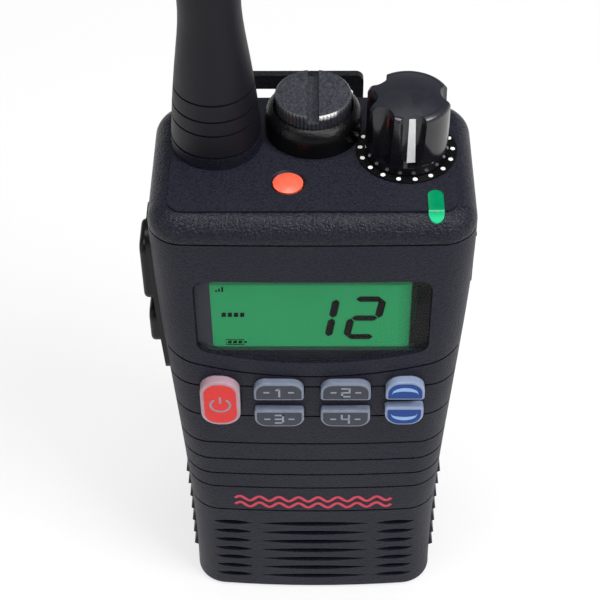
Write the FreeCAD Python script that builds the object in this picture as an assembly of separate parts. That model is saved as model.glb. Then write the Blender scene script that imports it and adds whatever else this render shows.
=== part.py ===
import FreeCAD, Part
import math
import os

V = FreeCAD.Vector

# A handheld VHF marine radio. Millimetres. X to the viewer's right, Y to the back, Z up.
# The origin is the centre of the base; the front face looks along -Y.

# Overall body. Names that end in _behind are measured back from the front face.
body_depth = 38.0
foot_half_width = 27.2
head_half_width = 31.0
taper_low_z = 24.0
taper_high_z = 104.0
seam_z = 112.2
seam_gap = 0.4
foot_face_radius = 253.0
head_face_radius = 1000.0
front_corner_radius = 7.0
rear_corner_radius = 7.5
foot_chamfer = 0.8
wall = 2.2
floor_thickness = 2.4
split_depth = 20.0
plug_gap = 0.1
root_sink = 0.5
print_gap = 0.05

# Top cover
shoulder_top_z = 117.0
shoulder_radius = 4.2
plateau_step = 0.5
plateau_half_width = 27.0
plateau_front_inset = 3.9
plateau_rear_inset = 1.2
plateau_corner_radius = 3.0
cover_thickness = 2.3
cover_wall = 2.5
gasket_outer_inset = 0.6
gasket_inner_inset = 2.0

# Accessory socket, its raised rim and its screwed cap
socket_x = 0.16
socket_y = 8.54
rim_radius = 9.37
rim_top_z = 123.5
rim_fillet = 3.0
cap_radius = 7.42
cap_top_z = 126.2
cap_seat_z = 119.0
cap_gap = 0.35
cap_knurls = 60
knurl_depth = 0.28
cap_edge = 0.4
cap_slot_width = 2.2
cap_slot_depth = 1.7
cap_seal_inner_radius = 5.3
cap_seal_outer_radius = 6.9
cap_seal_height = 0.9
socket_face_z = 118.0
socket_radius = 6.4
socket_bore_radius = 4.9
socket_bottom_z = 104.0
socket_floor_z = 111.5
spigot_radius = 4.55
spigot_end_z = 112.6
socket_pins = 8
socket_pin_radius = 0.4
socket_pin_circle = 3.0
socket_pin_height = 0.8
socket_pin_root = 4.0

# Antenna, its seat on the cover and its socket
antenna_x = -18.4
antenna_y = 4.75
seat_radius = 8.7
seat_top_z = 120.1
antenna_seal_height = 0.4
antenna_seal_inner_radius = 5.2
antenna_seal_outer_radius = 7.6
antenna_bottom_radius = 8.65
antenna_swell = [(3.35, 8.4), (6.95, 8.1), (11.75, 7.6), (16.35, 7.05), (20.95, 6.45), (25.45, 5.95)]
antenna_neck_radius = 5.8
antenna_neck_rise = 31.0
antenna_tip_radius = 4.2
antenna_length = 165.0
antenna_groove_rises = [4.65, 7.75, 11.35]
antenna_groove_width = 0.4
antenna_groove_depth = 0.3
foot_disc_radius = 5.0
foot_disc_height = 2.6
stud_radius = 3.0
stud_length = 5.6
stud_gap = 0.06
radiator_radius = 1.6
radiator_top_gap = 8.0
antenna_socket_radius = 4.6
antenna_socket_bottom_z = 104.2

# Volume knob, its potentiometer and the ring of white dots
knob_x = 17.97
knob_y = 1.97
dial_radius = 9.7
dial_height = 0.3
knob_gap = 0.25
collar_radius = 8.0
collar_height = 1.9
knob_lobe_radius = 7.9
knob_shoulder_rise = 11.6
knob_rim_rise = 12.9
knob_top_rise = 13.7
knob_rim_radius = 6.6
knob_bend_in = 0.35
knob_bend_drop = 0.3
knob_flutes = 8
flute_cutter_radius = 2.9
flute_low_radius = 6.9
flute_high_radius = 5.8
pointer_angle = -86.0
pointer_low_width = 1.6
pointer_high_width = 1.2
pointer_depth = 0.5
pointer_proud = 0.12
pointer_low_rise = 2.3
pointer_high_rise = 12.0
shaft_radius = 3.0
shaft_gap = 0.05
bushing_radius = 4.2
knob_seal_radius = 5.4
knob_seal_height = 0.5
shaft_socket_rise = 9.0
shaft_bottom_z = 109.0
pot_size = 12.0
pot_height = 5.2
dot_count = 16
dot_spread = 304.5
dot_middle_angle = -91.5
dot_circle = 8.85
dot_radius = 0.45
dot_sink = 0.25
dot_proud = 0.05

# Emergency button
emergency_x = -4.6
emergency_y = -7.2
emergency_radius = 2.87
emergency_gap = 0.15
emergency_dish = 0.45
emergency_proud = 0.35
emergency_dome = 0.55
emergency_flange = 0.75
emergency_flange_height = 0.8
emergency_travel = 1.2
emergency_stem_radius = 1.2
emergency_stem_length = 0.8
emergency_switch_size = 5.0

# Status light lens over the front edge of the plateau
light_x = 22.9
light_half_width = 1.46
light_front_inset = 1.9
light_back_inset = 9.3
light_proud = 0.25
light_bottom_z = 113.6

# Display
lens_half_width = 22.7
lens_top_z = 102.3
lens_low_z = 79.8
lens_bow = 82.0
lens_corner_radius = 2.5
lens_gap = 0.25
lens_sunk = 0.25
lens_depth = 1.5
mask_thickness = 0.2
view_left_x = -19.75
view_right_x = 19.05
view_low_z = 82.7
view_high_z = 101.4
view_corner_radius = 0.9
module_margin = 1.1
module_depth = 3.7
module_frame_wall = 1.6
module_frame_depth = 1.9

# Bowed step under the display, and the shingle grooves round the front
bow_line_z = 75.2
bow_line_radius = 84.0
groove_width = 0.45
groove_depth = 0.35
groove_levels = [72.05, 62.7, 53.6, 48.0, 42.9, 38.2, 29.85]
groove_end_behind = 13.0
bow_band_height = 12.0

# Keys
key_gap = 0.2
key_flange = 0.7
key_flange_thickness = 0.8
key_travel = 0.8
key_edge = 0.35
pad_depth = 3.1
pad_half_width = 25.5
pad_low_z = 58.0
pad_high_z = 78.0
pad_wall = 1.4
pad_floor_gap = 0.2
membrane_thickness = 1.2
key_board_thickness = 1.2
small_key_proud = 1.4
small_key_width = 10.2
small_key_height = 5.1
function_left_x = -12.0
function_right_x = 1.6
upper_row_z = 69.6
lower_row_z = 61.2
arrow_key_x = 14.8
arrow_key_width = 7.9
arrow_key_height = 5.4
arrow_soft_corner = 3.2
arrow_upper_z = 69.8
arrow_lower_z = 61.85
soft_corner = 2.6
tight_corner = 0.7
power_key_x = -22.95
power_key_z = 61.95
power_key_width = 8.1
power_key_height = 13.3
power_key_corner = 3.6
power_key_proud = 1.5

# Speaker grille, speaker and microphone
grille_levels = 7
grille_low_z = 4.75
grille_pitch = 3.4
grille_slot_height = 1.55
grille_columns = [(-22.5, -13.9), (-12.2, 12.6), (14.1, 22.9)]
cloth_behind = 3.45
cloth_thickness = 0.4
cloth_half_width = 23.1
cloth_low_z = 2.9
cloth_high_z = 27.4
speaker_radius = 13.0
speaker_z = 16.5
speaker_depth = 6.5
speaker_magnet_radius = 8.0
speaker_rim_depth = 2.0
microphone_x = 18.6
microphone_z = 8.0
microphone_radius = 3.0
microphone_depth = 2.5

# Saw-tooth grip on both flanks of the front case
tooth_count = 7
tooth_pitch = 4.6
tooth_top_z = 39.0
tooth_proud = 0.75
tooth_foot = 0.5
tooth_front_behind = 7.5
tooth_back_behind = 19.4

# Push-to-talk button, side button and the frame round them, on the -X flank
side_frame_front_behind = 6.0
side_frame_back_behind = 18.0
side_frame_low_z = 70.0
side_frame_high_z = 108.5
side_frame_proud = 0.9
side_frame_sunk = 1.0
side_frame_corner = 3.0
ptt_low_z = 89.5
ptt_high_z = 105.0
ptt_face_x = 33.4
ptt_travel = 1.5
side_button_low_z = 77.0
side_button_high_z = 86.0
side_button_face_x = 32.9
side_button_travel = 1.0
side_button_front_behind = 7.5
side_button_back_behind = 16.5
side_button_corner = 2.2
side_button_gap = 0.3
side_button_edge = 0.9
side_flange = 0.8
side_flange_thickness = 1.0
side_wall_gap = 0.15
side_board_low_z = 79.5
side_board_high_z = 104.0
side_board_thickness = 1.6
side_board_front_behind = 6.5
side_board_back_behind = 12.8
side_board_clear = 2.0
side_switch_size = 4.0
side_switch_clear = 0.3

# Rubber cover on the +X flank
port_front_behind = 9.5
port_back_behind = 19.0
port_low_z = 92.0
port_high_z = 108.0
port_proud = 0.35
port_rib_proud = 0.8
port_rib_levels = [98.0, 104.0]
port_rib_height = 1.6
port_rib_sunk = 0.3
port_corner = 2.0

# Boards, frame and screws inside
board_half_width = 24.0
main_board_behind = 13.0
main_board_thickness = 1.6
main_board_low_z = 5.0
main_board_high_z = 103.0
shield_half_width = 18.0
shield_low_z = 36.0
shield_high_z = 57.0
shield_depth = 3.5
shield_wall = 0.4
frame_shelf_z = 104.6
frame_shelf_thickness = 1.4
frame_shelf_clear = 5.4
top_board_thickness = 1.6
top_board_left_x = -21.5
top_board_front_behind = 8.5
post_x = 22.9
post_levels = [32.5, 55.0]
post_radius = 1.7
post_front_behind = 3.0
screw_radius = 1.2
screw_head_radius = 1.9
screw_head_height = 0.8
screw_length = 16.0

# Rear case and battery bay
bay_plate_thickness = 2.0
shelf_z = 100.0
shelf_thickness = 2.0
bay_gap = 0.2
bay_contact_xs = [-9.0, 0.0, 9.0]
bay_contact_z = 12.0
bay_contact_radius = 1.1
bay_contact_proud = 0.15
lug_xs = [-15.0, 15.0]
lug_z = 6.0
lug_width = 5.0
lug_height = 2.4
lug_reach = 1.6
lug_gap = 0.25

# Battery pack
lid_thickness = 1.6
cell_count = 2
cell_width = 22.5
cell_low_z = 4.0
cell_high_z = 94.0
cell_gap = 0.3
cell_corner = 4.0
battery_contact_thickness = 0.3
battery_contact_half = 1.8

# Battery latch in the back of the rear case
latch_half_width = 7.0
latch_height = 5.0
latch_low_z = 101.5
latch_travel = 2.0
latch_gap = 0.2
latch_flange = 1.2
latch_flange_thickness = 1.0
latch_lip = 1.4
latch_pad_depth = 3.6
latch_rib_height = 0.5
latch_rib_inset = 1.5
latch_ribs = 3
latch_pad_wall = 1.5

# Belt clip on the back of the battery
clip_x = -2.0
clip_half_width = 12.3
clip_finger_half_width = 9.0
clip_gap = 6.0
clip_thickness = 1.6
clip_top_z = 117.3
clip_bar_height = 3.4
clip_window_low_z = 109.0
clip_window_half_width = 10.2
clip_bottom_z = 30.0
clip_waist_z = 84.0
clip_pivot_z = 92.0
clip_flare = 16.0
clip_flare_radius = 8.0
clip_end_radius = 4.0
clip_window_corner = 1.0
clip_tip_height = 3.0
clip_tip_gap = 0.35
clip_tip_radius = 1.0
clip_corner = 1.6
clip_rib_half_width = 2.0
clip_rib_proud = 0.9
clip_rib_sunk = 0.3
clip_rib_low = 8.0
clip_rib_low_slope = 4.0
clip_rib_high_slope = 3.0
clip_rib_corner = 0.6
bracket_thickness = 1.2
bracket_half_width = 10.0
bracket_low_z = 79.0
bracket_high_z = 96.5
ear_inner_x = 7.6
ear_thickness = 2.0
ear_radius = 2.05
knuckle_inner_x = 5.0
knuckle_gap = 0.2
pin_y_from_back = 3.6
pin_radius = 1.25
pin_gap = 0.05
spring_wire = 0.6
spring_radius = 1.8
spring_turns = 5.5
spring_pitch = 1.25
spring_leg = 7.0
bracket_screw_x = 5.5
bracket_screw_z = 82.5

# Places worked out from the sizes above
front_y = -body_depth / 2
rear_y = body_depth / 2
split_y = front_y + split_depth
groove_end_y = front_y + groove_end_behind
cloth_y = front_y + cloth_behind
tooth_front_y = front_y + tooth_front_behind
tooth_back_y = front_y + tooth_back_behind
side_frame_front_y = front_y + side_frame_front_behind
side_frame_back_y = front_y + side_frame_back_behind
side_button_front_y = front_y + side_button_front_behind
side_button_back_y = front_y + side_button_back_behind
side_board_front_y = front_y + side_board_front_behind
side_board_back_y = front_y + side_board_back_behind
port_front_y = front_y + port_front_behind
port_back_y = front_y + port_back_behind
main_board_y = front_y + main_board_behind
post_front_y = front_y + post_front_behind
top_board_front_y = front_y + top_board_front_behind
frame_shelf_back_y = rear_y - frame_shelf_clear
flank_inside_x = foot_half_width - 3 * wall
case_top_z = seam_z - seam_gap / 2
cover_bottom_z = seam_z + seam_gap / 2
plateau_z = shoulder_top_z + plateau_step
cover_inner_z = shoulder_top_z - cover_thickness
bay_plate_y = split_y - bay_plate_thickness
bay_back_y = split_y + bay_gap
battery_top_z = shelf_z - bay_gap
pad_y = front_y + pad_depth
ring_y = pad_y + plug_gap + key_flange_thickness + key_travel + pad_floor_gap
membrane_back_y = ring_y + membrane_thickness
key_board_back_y = membrane_back_y + key_board_thickness
lens_back_y = front_y + lens_depth
module_y = lens_back_y + mask_thickness
frame_plate_y = main_board_y + main_board_thickness
top_board_z = frame_shelf_z + frame_shelf_thickness
top_board_top_z = top_board_z + top_board_thickness
dial_z = plateau_z + dial_height
knob_z = dial_z + knob_gap
antenna_z = seat_top_z + antenna_seal_height + print_gap
clip_inner_y = rear_y + clip_gap
clip_outer_y = clip_inner_y + clip_thickness
pin_y = rear_y + pin_y_from_back
far = 200.0


# General shapes

def box(x0, x1, y0, y1, z0, z1):
    return Part.makeBox(x1 - x0, y1 - y0, z1 - z0, V(x0, y0, z0))


def upright(x, y, z0, z1, radius):
    return Part.makeCylinder(radius, z1 - z0, V(x, y, z0), V(0, 0, 1))


def along_y(x, z, y0, y1, radius):
    return Part.makeCylinder(radius, y1 - y0, V(x, y0, z), V(0, 1, 0))


def along_x(y, z, x0, x1, radius):
    return Part.makeCylinder(radius, x1 - x0, V(x0, y, z), V(1, 0, 0))


def tube(x, y, z0, z1, outer, inner):
    return upright(x, y, z0, z1, outer).cut(upright(x, y, z0 - 1, z1 + 1, inner))


def three_point_arc(start, middle, end):
    return Part.Arc(start, middle, end).toShape()


def rounded_wire(corners, place):
    # corners are (u, v, radius) in order round the outline; place turns u, v into a point
    edges = []
    runs = []
    count = len(corners)
    for index in range(count):
        u, v, radius = corners[index]
        back_u = corners[index - 1][0] - u
        back_v = corners[index - 1][1] - v
        on_u = corners[(index + 1) % count][0] - u
        on_v = corners[(index + 1) % count][1] - v
        back_length = math.hypot(back_u, back_v)
        on_length = math.hypot(on_u, on_v)
        back_u, back_v = back_u / back_length, back_v / back_length
        on_u, on_v = on_u / on_length, on_v / on_length
        if radius <= 0:
            runs.append((place(u, v), None, place(u, v)))
            continue
        half_angle = math.acos(back_u * on_u + back_v * on_v) / 2
        reach = radius / math.tan(half_angle)
        middle_u = back_u + on_u
        middle_v = back_v + on_v
        middle_length = math.hypot(middle_u, middle_v)
        bulge = radius / math.sin(half_angle) - radius
        middle = place(u + middle_u / middle_length * bulge, v + middle_v / middle_length * bulge)
        runs.append((place(u + back_u * reach, v + back_v * reach), middle,
                     place(u + on_u * reach, v + on_v * reach)))
    for index in range(count):
        start, middle, end = runs[index]
        if middle is not None:
            edges.append(three_point_arc(start, middle, end))
        following = runs[(index + 1) % count][0]
        if end.distanceToPoint(following) > 1e-6:
            edges.append(Part.LineSegment(end, following).toShape())
    return Part.Wire(edges)


def flat_prism(corners, z0, z1):
    wire = rounded_wire(corners, lambda u, v: V(u, v, z0))
    return Part.Face(wire).extrude(V(0, 0, z1 - z0))


def front_prism(corners, y0, y1):
    wire = rounded_wire(corners, lambda u, v: V(u, y0, v))
    return Part.Face(wire).extrude(V(0, y1 - y0, 0))


def side_prism(corners, x0, x1):
    wire = rounded_wire(corners, lambda u, v: V(x0, u, v))
    return Part.Face(wire).extrude(V(x1 - x0, 0, 0))


def rectangle(u0, u1, v0, v1, low_radius=0.0, high_radius=None):
    high = low_radius if high_radius is None else high_radius
    return [(u0, v0, low_radius), (u1, v0, low_radius), (u1, v1, high), (u0, v1, high)]


def turned(profile, x, y):
    # a solid of revolution about the upright axis through x, y; profile is (radius, z)
    points = [V(x + radius, y, z) for radius, z in profile]
    edges = [Part.LineSegment(a, b).toShape() for a, b in zip(points, points[1:] + points[:1])]
    return Part.Face(Part.Wire(edges)).revolve(V(x, y, 0), V(0, 0, 1), 360)


def dome_arc(x, y, radius, low_z, top_z):
    # the arc of a cap of a sphere, from its rim up to the axis through x, y
    rise = top_z - low_z
    ball = (radius ** 2 + rise ** 2) / (2 * rise)
    half_angle = math.asin(min(radius / ball, 1.0)) / 2
    middle = V(x + ball * math.sin(half_angle), y, top_z - ball + ball * math.cos(half_angle))
    return three_point_arc(V(x + radius, y, low_z), middle, V(x, y, top_z))


def export(name, shape):
    shape.exportStep("parts/" + name + ".step")


# The body's plan outline: a bowed front, tight front corners, straight flanks, a flat back

def half_width(z):
    share = min(max((z - taper_low_z) / (taper_high_z - taper_low_z), 0.0), 1.0)
    blend = 0.5 * share + 0.5 * share * share * (3.0 - 2.0 * share)
    return foot_half_width + (head_half_width - foot_half_width) * blend


def face_radius(z):
    share = min(max(z / seam_z, 0.0), 1.0)
    return 1.0 / ((1.0 - share) / foot_face_radius + share / head_face_radius)


def bow_corner(half, bow, corner):
    # where a corner arc meets a bowed edge of radius bow: heights are above the bow's lowest point
    centre_u = half - corner
    centre_v = bow - math.sqrt((bow - corner) ** 2 - centre_u ** 2)
    reach = bow / (bow - corner)
    meet_u = centre_u * reach
    meet_v = bow + (centre_v - bow) * reach
    lean_u = (meet_u - centre_u) / corner + 1.0
    lean_v = (meet_v - centre_v) / corner
    lean = math.hypot(lean_u, lean_v)
    return centre_v, meet_u, meet_v, centre_u + lean_u / lean * corner, centre_v + lean_v / lean * corner


def plan_wire(z, inset, level):
    half = half_width(z) - inset
    front = front_y + inset
    rear = rear_y - inset
    corner_v, meet_u, meet_v, middle_u, middle_v = bow_corner(
        half, face_radius(z) - inset, front_corner_radius - inset)
    round_rear = rear_corner_radius - inset
    lean = round_rear * (1.0 - math.sqrt(0.5))
    left_front = V(-half, front + corner_v, level)
    left_meet = V(-meet_u, front + meet_v, level)
    right_meet = V(meet_u, front + meet_v, level)
    right_front = V(half, front + corner_v, level)
    right_back = V(half, rear - round_rear, level)
    back_right = V(half - round_rear, rear, level)
    back_left = V(round_rear - half, rear, level)
    left_back = V(-half, rear - round_rear, level)
    return Part.Wire([
        three_point_arc(left_front, V(-middle_u, front + middle_v, level), left_meet),
        three_point_arc(left_meet, V(0, front, level), right_meet),
        three_point_arc(right_meet, V(middle_u, front + middle_v, level), right_front),
        Part.LineSegment(right_front, right_back).toShape(),
        three_point_arc(right_back, V(half - lean, rear - lean, level), back_right),
        Part.LineSegment(back_right, back_left).toShape(),
        three_point_arc(back_left, V(lean - half, rear - lean, level), left_back),
        Part.LineSegment(left_back, left_front).toShape(),
    ])


def body_loft(inset, z0, z1):
    span = (taper_high_z - taper_low_z) / 4
    between = [taper_low_z + span * step for step in range(5)]
    levels = [z0] + [z for z in between if z0 + 1 < z < z1 - 1] + [z1]
    return Part.makeLoft([plan_wire(z, inset, z) for z in levels], True, False)


def plan_slab(z, inset, z0, z1):
    return Part.Face(plan_wire(z, inset, z0)).extrude(V(0, 0, z1 - z0))


def foot_slab():
    low = plan_wire(foot_chamfer, foot_chamfer, 0)
    high = plan_wire(foot_chamfer, 0, foot_chamfer)
    return Part.makeLoft([low, high], True, True)


outer_body = body_loft(0, foot_chamfer, case_top_z).fuse(foot_slab())
inner_body = body_loft(wall, floor_thickness, case_top_z + 1)
plug_body = body_loft(wall + plug_gap, floor_thickness + plug_gap, case_top_z)
groove_core = body_loft(groove_depth, 0, case_top_z + 1)
lens_core = body_loft(lens_sunk, lens_low_z - 10, case_top_z + 1)
side_core = body_loft(side_frame_sunk, side_frame_low_z - 5, case_top_z + 1)
side_skin = body_loft(-side_frame_proud, side_frame_low_z - 5, case_top_z + 1)


# Display outlines

def lens_wire(grow, y):
    half = lens_half_width + grow
    low = lens_low_z - grow
    top = lens_top_z + grow
    corner = lens_corner_radius + grow
    side_v, meet_u, meet_v, middle_u, middle_v = bow_corner(half, lens_bow, corner)
    lean = corner * (1.0 - math.sqrt(0.5))
    return Part.Wire([
        three_point_arc(V(-meet_u, y, low + meet_v), V(0, y, low), V(meet_u, y, low + meet_v)),
        three_point_arc(V(meet_u, y, low + meet_v), V(middle_u, y, low + middle_v),
                        V(half, y, low + side_v)),
        Part.LineSegment(V(half, y, low + side_v), V(half, y, top - corner)).toShape(),
        three_point_arc(V(half, y, top - corner), V(half - lean, y, top - lean), V(half - corner, y, top)),
        Part.LineSegment(V(half - corner, y, top), V(corner - half, y, top)).toShape(),
        three_point_arc(V(corner - half, y, top), V(lean - half, y, top - lean), V(-half, y, top - corner)),
        Part.LineSegment(V(-half, y, top - corner), V(-half, y, low + side_v)).toShape(),
        three_point_arc(V(-half, y, low + side_v), V(-middle_u, y, low + middle_v),
                        V(-meet_u, y, low + meet_v)),
    ])


def lens_prism(grow, y0, y1):
    return Part.Face(lens_wire(grow, y0)).extrude(V(0, y1 - y0, 0))


module_left_x = view_left_x - module_margin
module_right_x = view_right_x + module_margin
module_low_z = view_low_z - module_margin
module_high_z = min(view_high_z + module_margin, lens_top_z - lens_gap)


# Keys: each is a soft moulded button that comes out through the front wall

def key_outline(left, low, width, height, low_radius, high_radius):
    return rectangle(left, left + width, low, low + height, low_radius, high_radius)


keys = {
    "power_key": (key_outline(power_key_x, power_key_z, power_key_width, power_key_height,
                              power_key_corner, power_key_corner), power_key_proud),
    "function_key_1": (key_outline(function_left_x, upper_row_z, small_key_width, small_key_height,
                                   tight_corner, soft_corner), small_key_proud),
    "function_key_2": (key_outline(function_right_x, upper_row_z, small_key_width, small_key_height,
                                   tight_corner, soft_corner), small_key_proud),
    "function_key_3": (key_outline(function_left_x, lower_row_z, small_key_width, small_key_height,
                                   soft_corner, tight_corner), small_key_proud),
    "function_key_4": (key_outline(function_right_x, lower_row_z, small_key_width, small_key_height,
                                   soft_corner, tight_corner), small_key_proud),
    "up_key": (key_outline(arrow_key_x, arrow_upper_z, arrow_key_width, arrow_key_height,
                           tight_corner, arrow_soft_corner), small_key_proud),
    "down_key": (key_outline(arrow_key_x, arrow_lower_z, arrow_key_width, arrow_key_height,
                             arrow_soft_corner, tight_corner), small_key_proud),
}


def grown(outline, grow):
    (u0, v0, low_radius), (u1, _, _), (_, v1, high_radius), _ = outline
    return rectangle(u0 - grow, u1 + grow, v0 - grow, v1 + grow, low_radius + grow, high_radius + grow)


def make_key(name):
    outline, proud = keys[name]
    cap = front_prism(outline, front_y - proud, pad_y + plug_gap)
    front_edges = [edge for edge in cap.Edges if edge.BoundBox.YMax < front_y - proud + 0.01]
    cap = cap.makeFillet(key_edge, front_edges)
    flange_y = pad_y + plug_gap
    flange = front_prism(grown(outline, key_flange), flange_y, flange_y + key_flange_thickness)
    return cap.fuse(flange).removeSplitter()


# Front case

def lens_slot(left, right, z):
    # one grille slot: two shallow arcs that meet in points
    half_height = grille_slot_height / 2
    start = V(left, front_y - 2, z)
    end = V(right, front_y - 2, z)
    middle = (left + right) / 2
    upper = three_point_arc(start, V(middle, front_y - 2, z + half_height), end)
    lower = three_point_arc(end, V(middle, front_y - 2, z - half_height), start)
    return Part.Face(Part.Wire([upper, lower])).extrude(V(0, wall + 4, 0))


def grille_slots():
    slots = []
    for row in range(grille_levels):
        for left, right in grille_columns:
            slots.append(lens_slot(left, right, grille_low_z + grille_pitch * row))
    return slots


def shingle_grooves():
    rings = []
    for level in groove_levels:
        high = level + groove_width
        ring = plan_slab(level, -1.0, level, high).cut(plan_slab(level, groove_depth, level, high))
        rings.append(ring.common(box(-far, far, -far, groove_end_y, level - 1, high + 1)))
    return rings


def bow_step():
    centre_z = bow_line_z + bow_line_radius
    outer = Part.makeCylinder(bow_line_radius, 8, V(0, front_y - 4, centre_z), V(0, 1, 0))
    inner = Part.makeCylinder(bow_line_radius - groove_width, 10, V(0, front_y - 5, centre_z), V(0, 1, 0))
    band = outer.cut(inner).common(box(-far, far, -far, front_y + 4, bow_line_z - 1,
                                          bow_line_z + bow_band_height))
    return band.cut(groove_core)


def saw_teeth():
    teeth = []
    for step in range(tooth_count):
        top = tooth_top_z - tooth_pitch * step
        low = top - tooth_pitch
        flank_top = half_width(top)
        flank_low = half_width(low)
        for side in (-1, 1):
            corners = [(side * (flank_top - 1), top, 0), (side * flank_top, top, 0),
                       (side * (flank_low + tooth_proud), low + tooth_foot, 0), (side * flank_low, low, 0),
                       (side * (flank_low - 1), low, 0)]
            teeth.append(front_prism(corners, tooth_front_y, tooth_back_y))
    return teeth


def side_window(low, high, grow, x0, x1):
    corners = rectangle(side_button_front_y - grow, side_button_back_y + grow, low - grow, high + grow,
                        side_button_corner + grow)
    return side_prism(corners, x0, x1)


def side_frame_blank(x0, x1):
    corners = rectangle(side_frame_front_y, side_frame_back_y, side_frame_low_z, side_frame_high_z,
                        side_frame_corner)
    return side_prism(corners, x0, x1)


def port_blank(grow, x0, x1):
    corners = rectangle(port_front_y - grow, port_back_y + grow, port_low_z - grow, port_high_z + grow,
                        port_corner)
    return side_prism(corners, x0, x1)


def case_posts():
    return [along_y(side * post_x, z, post_front_y, bay_plate_y, post_radius)
            for side in (-1, 1) for z in post_levels]


def screw_holes(radius, y0, y1):
    return [along_y(side * post_x, z, y0, y1, radius) for side in (-1, 1) for z in post_levels]


def make_front_case():
    shell = outer_body.common(box(-far, far, -far, split_y, -1, case_top_z))
    shell = shell.cut(inner_body)
    key_pad = box(-pad_half_width, pad_half_width, front_y + wall - root_sink, ring_y, pad_low_z, pad_high_z)
    key_well = box(pad_wall - pad_half_width, pad_half_width - pad_wall, pad_y, ring_y + 1,
                   pad_low_z + pad_wall, pad_high_z - pad_wall)
    module_pad = box(module_left_x - module_frame_wall, module_right_x + module_frame_wall,
                     front_y + wall - root_sink, module_y + module_frame_depth,
                     module_low_z - module_frame_wall, module_high_z + module_frame_wall)
    shell = shell.multiFuse([key_pad.cut(key_well), module_pad] + case_posts() + saw_teeth())
    cuts = [lens_prism(lens_gap, front_y - 3, module_y),
            box(module_left_x - plug_gap, module_right_x + plug_gap, module_y - 0.1,
                module_y + module_frame_depth + 1, module_low_z - plug_gap, module_high_z + plug_gap)]
    for outline, proud in keys.values():
        cuts.append(front_prism(grown(outline, key_gap), front_y - 3, pad_y + 1))
    cuts.extend(grille_slots())
    cuts.extend(shingle_grooves())
    cuts.append(bow_step())
    cuts.append(side_frame_blank(-far, 0).cut(side_core))
    for low, high in ((ptt_low_z, ptt_high_z), (side_button_low_z, side_button_high_z)):
        cuts.append(side_window(low, high, side_button_gap, -far, wall - foot_half_width / 2))
    cuts.append(port_blank(0, flank_inside_x, far).cut(side_core))
    cuts.extend(screw_holes(screw_radius, split_y - screw_head_height - screw_length - 1, split_y))
    return shell.cut(cuts)


# Rear case: the plate of the battery bay, and the full-depth head above it

def latch_pocket():
    reach = latch_half_width + latch_gap
    high = latch_low_z + latch_height + latch_travel + latch_gap
    low = latch_low_z - latch_gap
    flange_y = rear_y - latch_lip
    opening = box(-reach, reach, flange_y, rear_y + 1, low, high)
    slot = box(-reach - latch_flange, reach + latch_flange, flange_y - latch_flange_thickness - latch_gap,
               flange_y, low, high)
    return opening.fuse(slot)


def make_rear_case():
    plate = plug_body.common(box(-far, far, bay_plate_y, split_y, 0, shelf_z + shelf_thickness))
    head = outer_body.common(box(-far, far, split_y, far, shelf_z, case_top_z))
    hollow = inner_body.common(box(-far, far, split_y - 1, far, shelf_z + shelf_thickness, far))
    head = head.cut(hollow)
    reach = latch_half_width + latch_flange + latch_pad_wall
    latch_pad = box(-reach, reach, rear_y - latch_pad_depth, rear_y - wall / 2, shelf_z,
                    latch_low_z + latch_height + latch_travel + latch_pad_wall)
    cuts = [latch_pocket()]
    cuts.extend(screw_holes(screw_radius, bay_plate_y - 1, split_y))
    cuts.extend(screw_holes(screw_head_radius, split_y - screw_head_height, split_y + 1))
    for x in bay_contact_xs:
        cuts.append(along_y(x, bay_contact_z, bay_plate_y - 1, split_y + 1, bay_contact_radius))
    for x in lug_xs:
        half = lug_width / 2 + lug_gap
        cuts.append(box(x - half, x + half, bay_plate_y - 1, split_y + 1, lug_z - lug_gap,
                        lug_z + lug_height + lug_gap))
    return plate.multiFuse([head, latch_pad]).cut(cuts)


def make_case_screws():
    screws = []
    head_y = split_y - screw_head_height
    for side in (-1, 1):
        for z in post_levels:
            head = along_y(side * post_x, z, head_y, split_y, screw_head_radius)
            recess = along_y(side * post_x, z, split_y - screw_head_height / 2, split_y + 1, screw_radius / 2)
            shank = along_y(side * post_x, z, head_y - screw_length, head_y, screw_radius)
            screws.append(head.cut(recess).fuse(shank))
    return Part.makeCompound(screws)


# Top cover: a rounded shoulder, a raised plateau, and the rims that the controls stand in

def shoulder_solid():
    slab = plan_slab(seam_z, 0, cover_bottom_z, shoulder_top_z)
    top_edges = []
    for edge in slab.Edges:
        bounds = edge.BoundBox
        if bounds.ZMin > shoulder_top_z - 0.01 and bounds.YMax < rear_y - 0.01:
            top_edges.append(edge)
    front = [edge for edge in top_edges if edge.BoundBox.YMin < rear_y - rear_corner_radius - 0.01]
    return slab.makeFillet(shoulder_radius, front)


def plateau_corners():
    back = rear_y - plateau_rear_inset
    front = front_y + plateau_front_inset
    half = plateau_half_width
    return [(-half, front, plateau_corner_radius), (half, front, plateau_corner_radius),
            (half, back, rear_corner_radius), (-half, back, rear_corner_radius)]


def light_outline():
    # the lens in plan: a slot with round ends
    front = front_y + light_front_inset
    back = front_y + light_back_inset
    half = light_half_width
    return rectangle(light_x - half, light_x + half, front, back, half - 0.02)


def light_profile(lift):
    # the lens from the side: it follows the shoulder down and the plateau back
    edge_y = front_y + plateau_front_inset
    low_y = front_y + light_front_inset - 1
    drop_y = front_y + shoulder_radius - low_y
    low_z = shoulder_top_z - shoulder_radius + math.sqrt(shoulder_radius ** 2 - drop_y ** 2)
    back_y = front_y + light_back_inset + 1
    points = [(low_y, light_bottom_z, 0), (back_y, light_bottom_z, 0), (back_y, plateau_z + lift, 0),
              (edge_y - 0.1, plateau_z + lift, 0.8), (low_y, low_z + lift, 0)]
    return side_prism(points, light_x - far, light_x + far)


def make_status_light():
    return flat_prism(light_outline(), light_bottom_z, plateau_z + 3).common(light_profile(light_proud))


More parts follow.
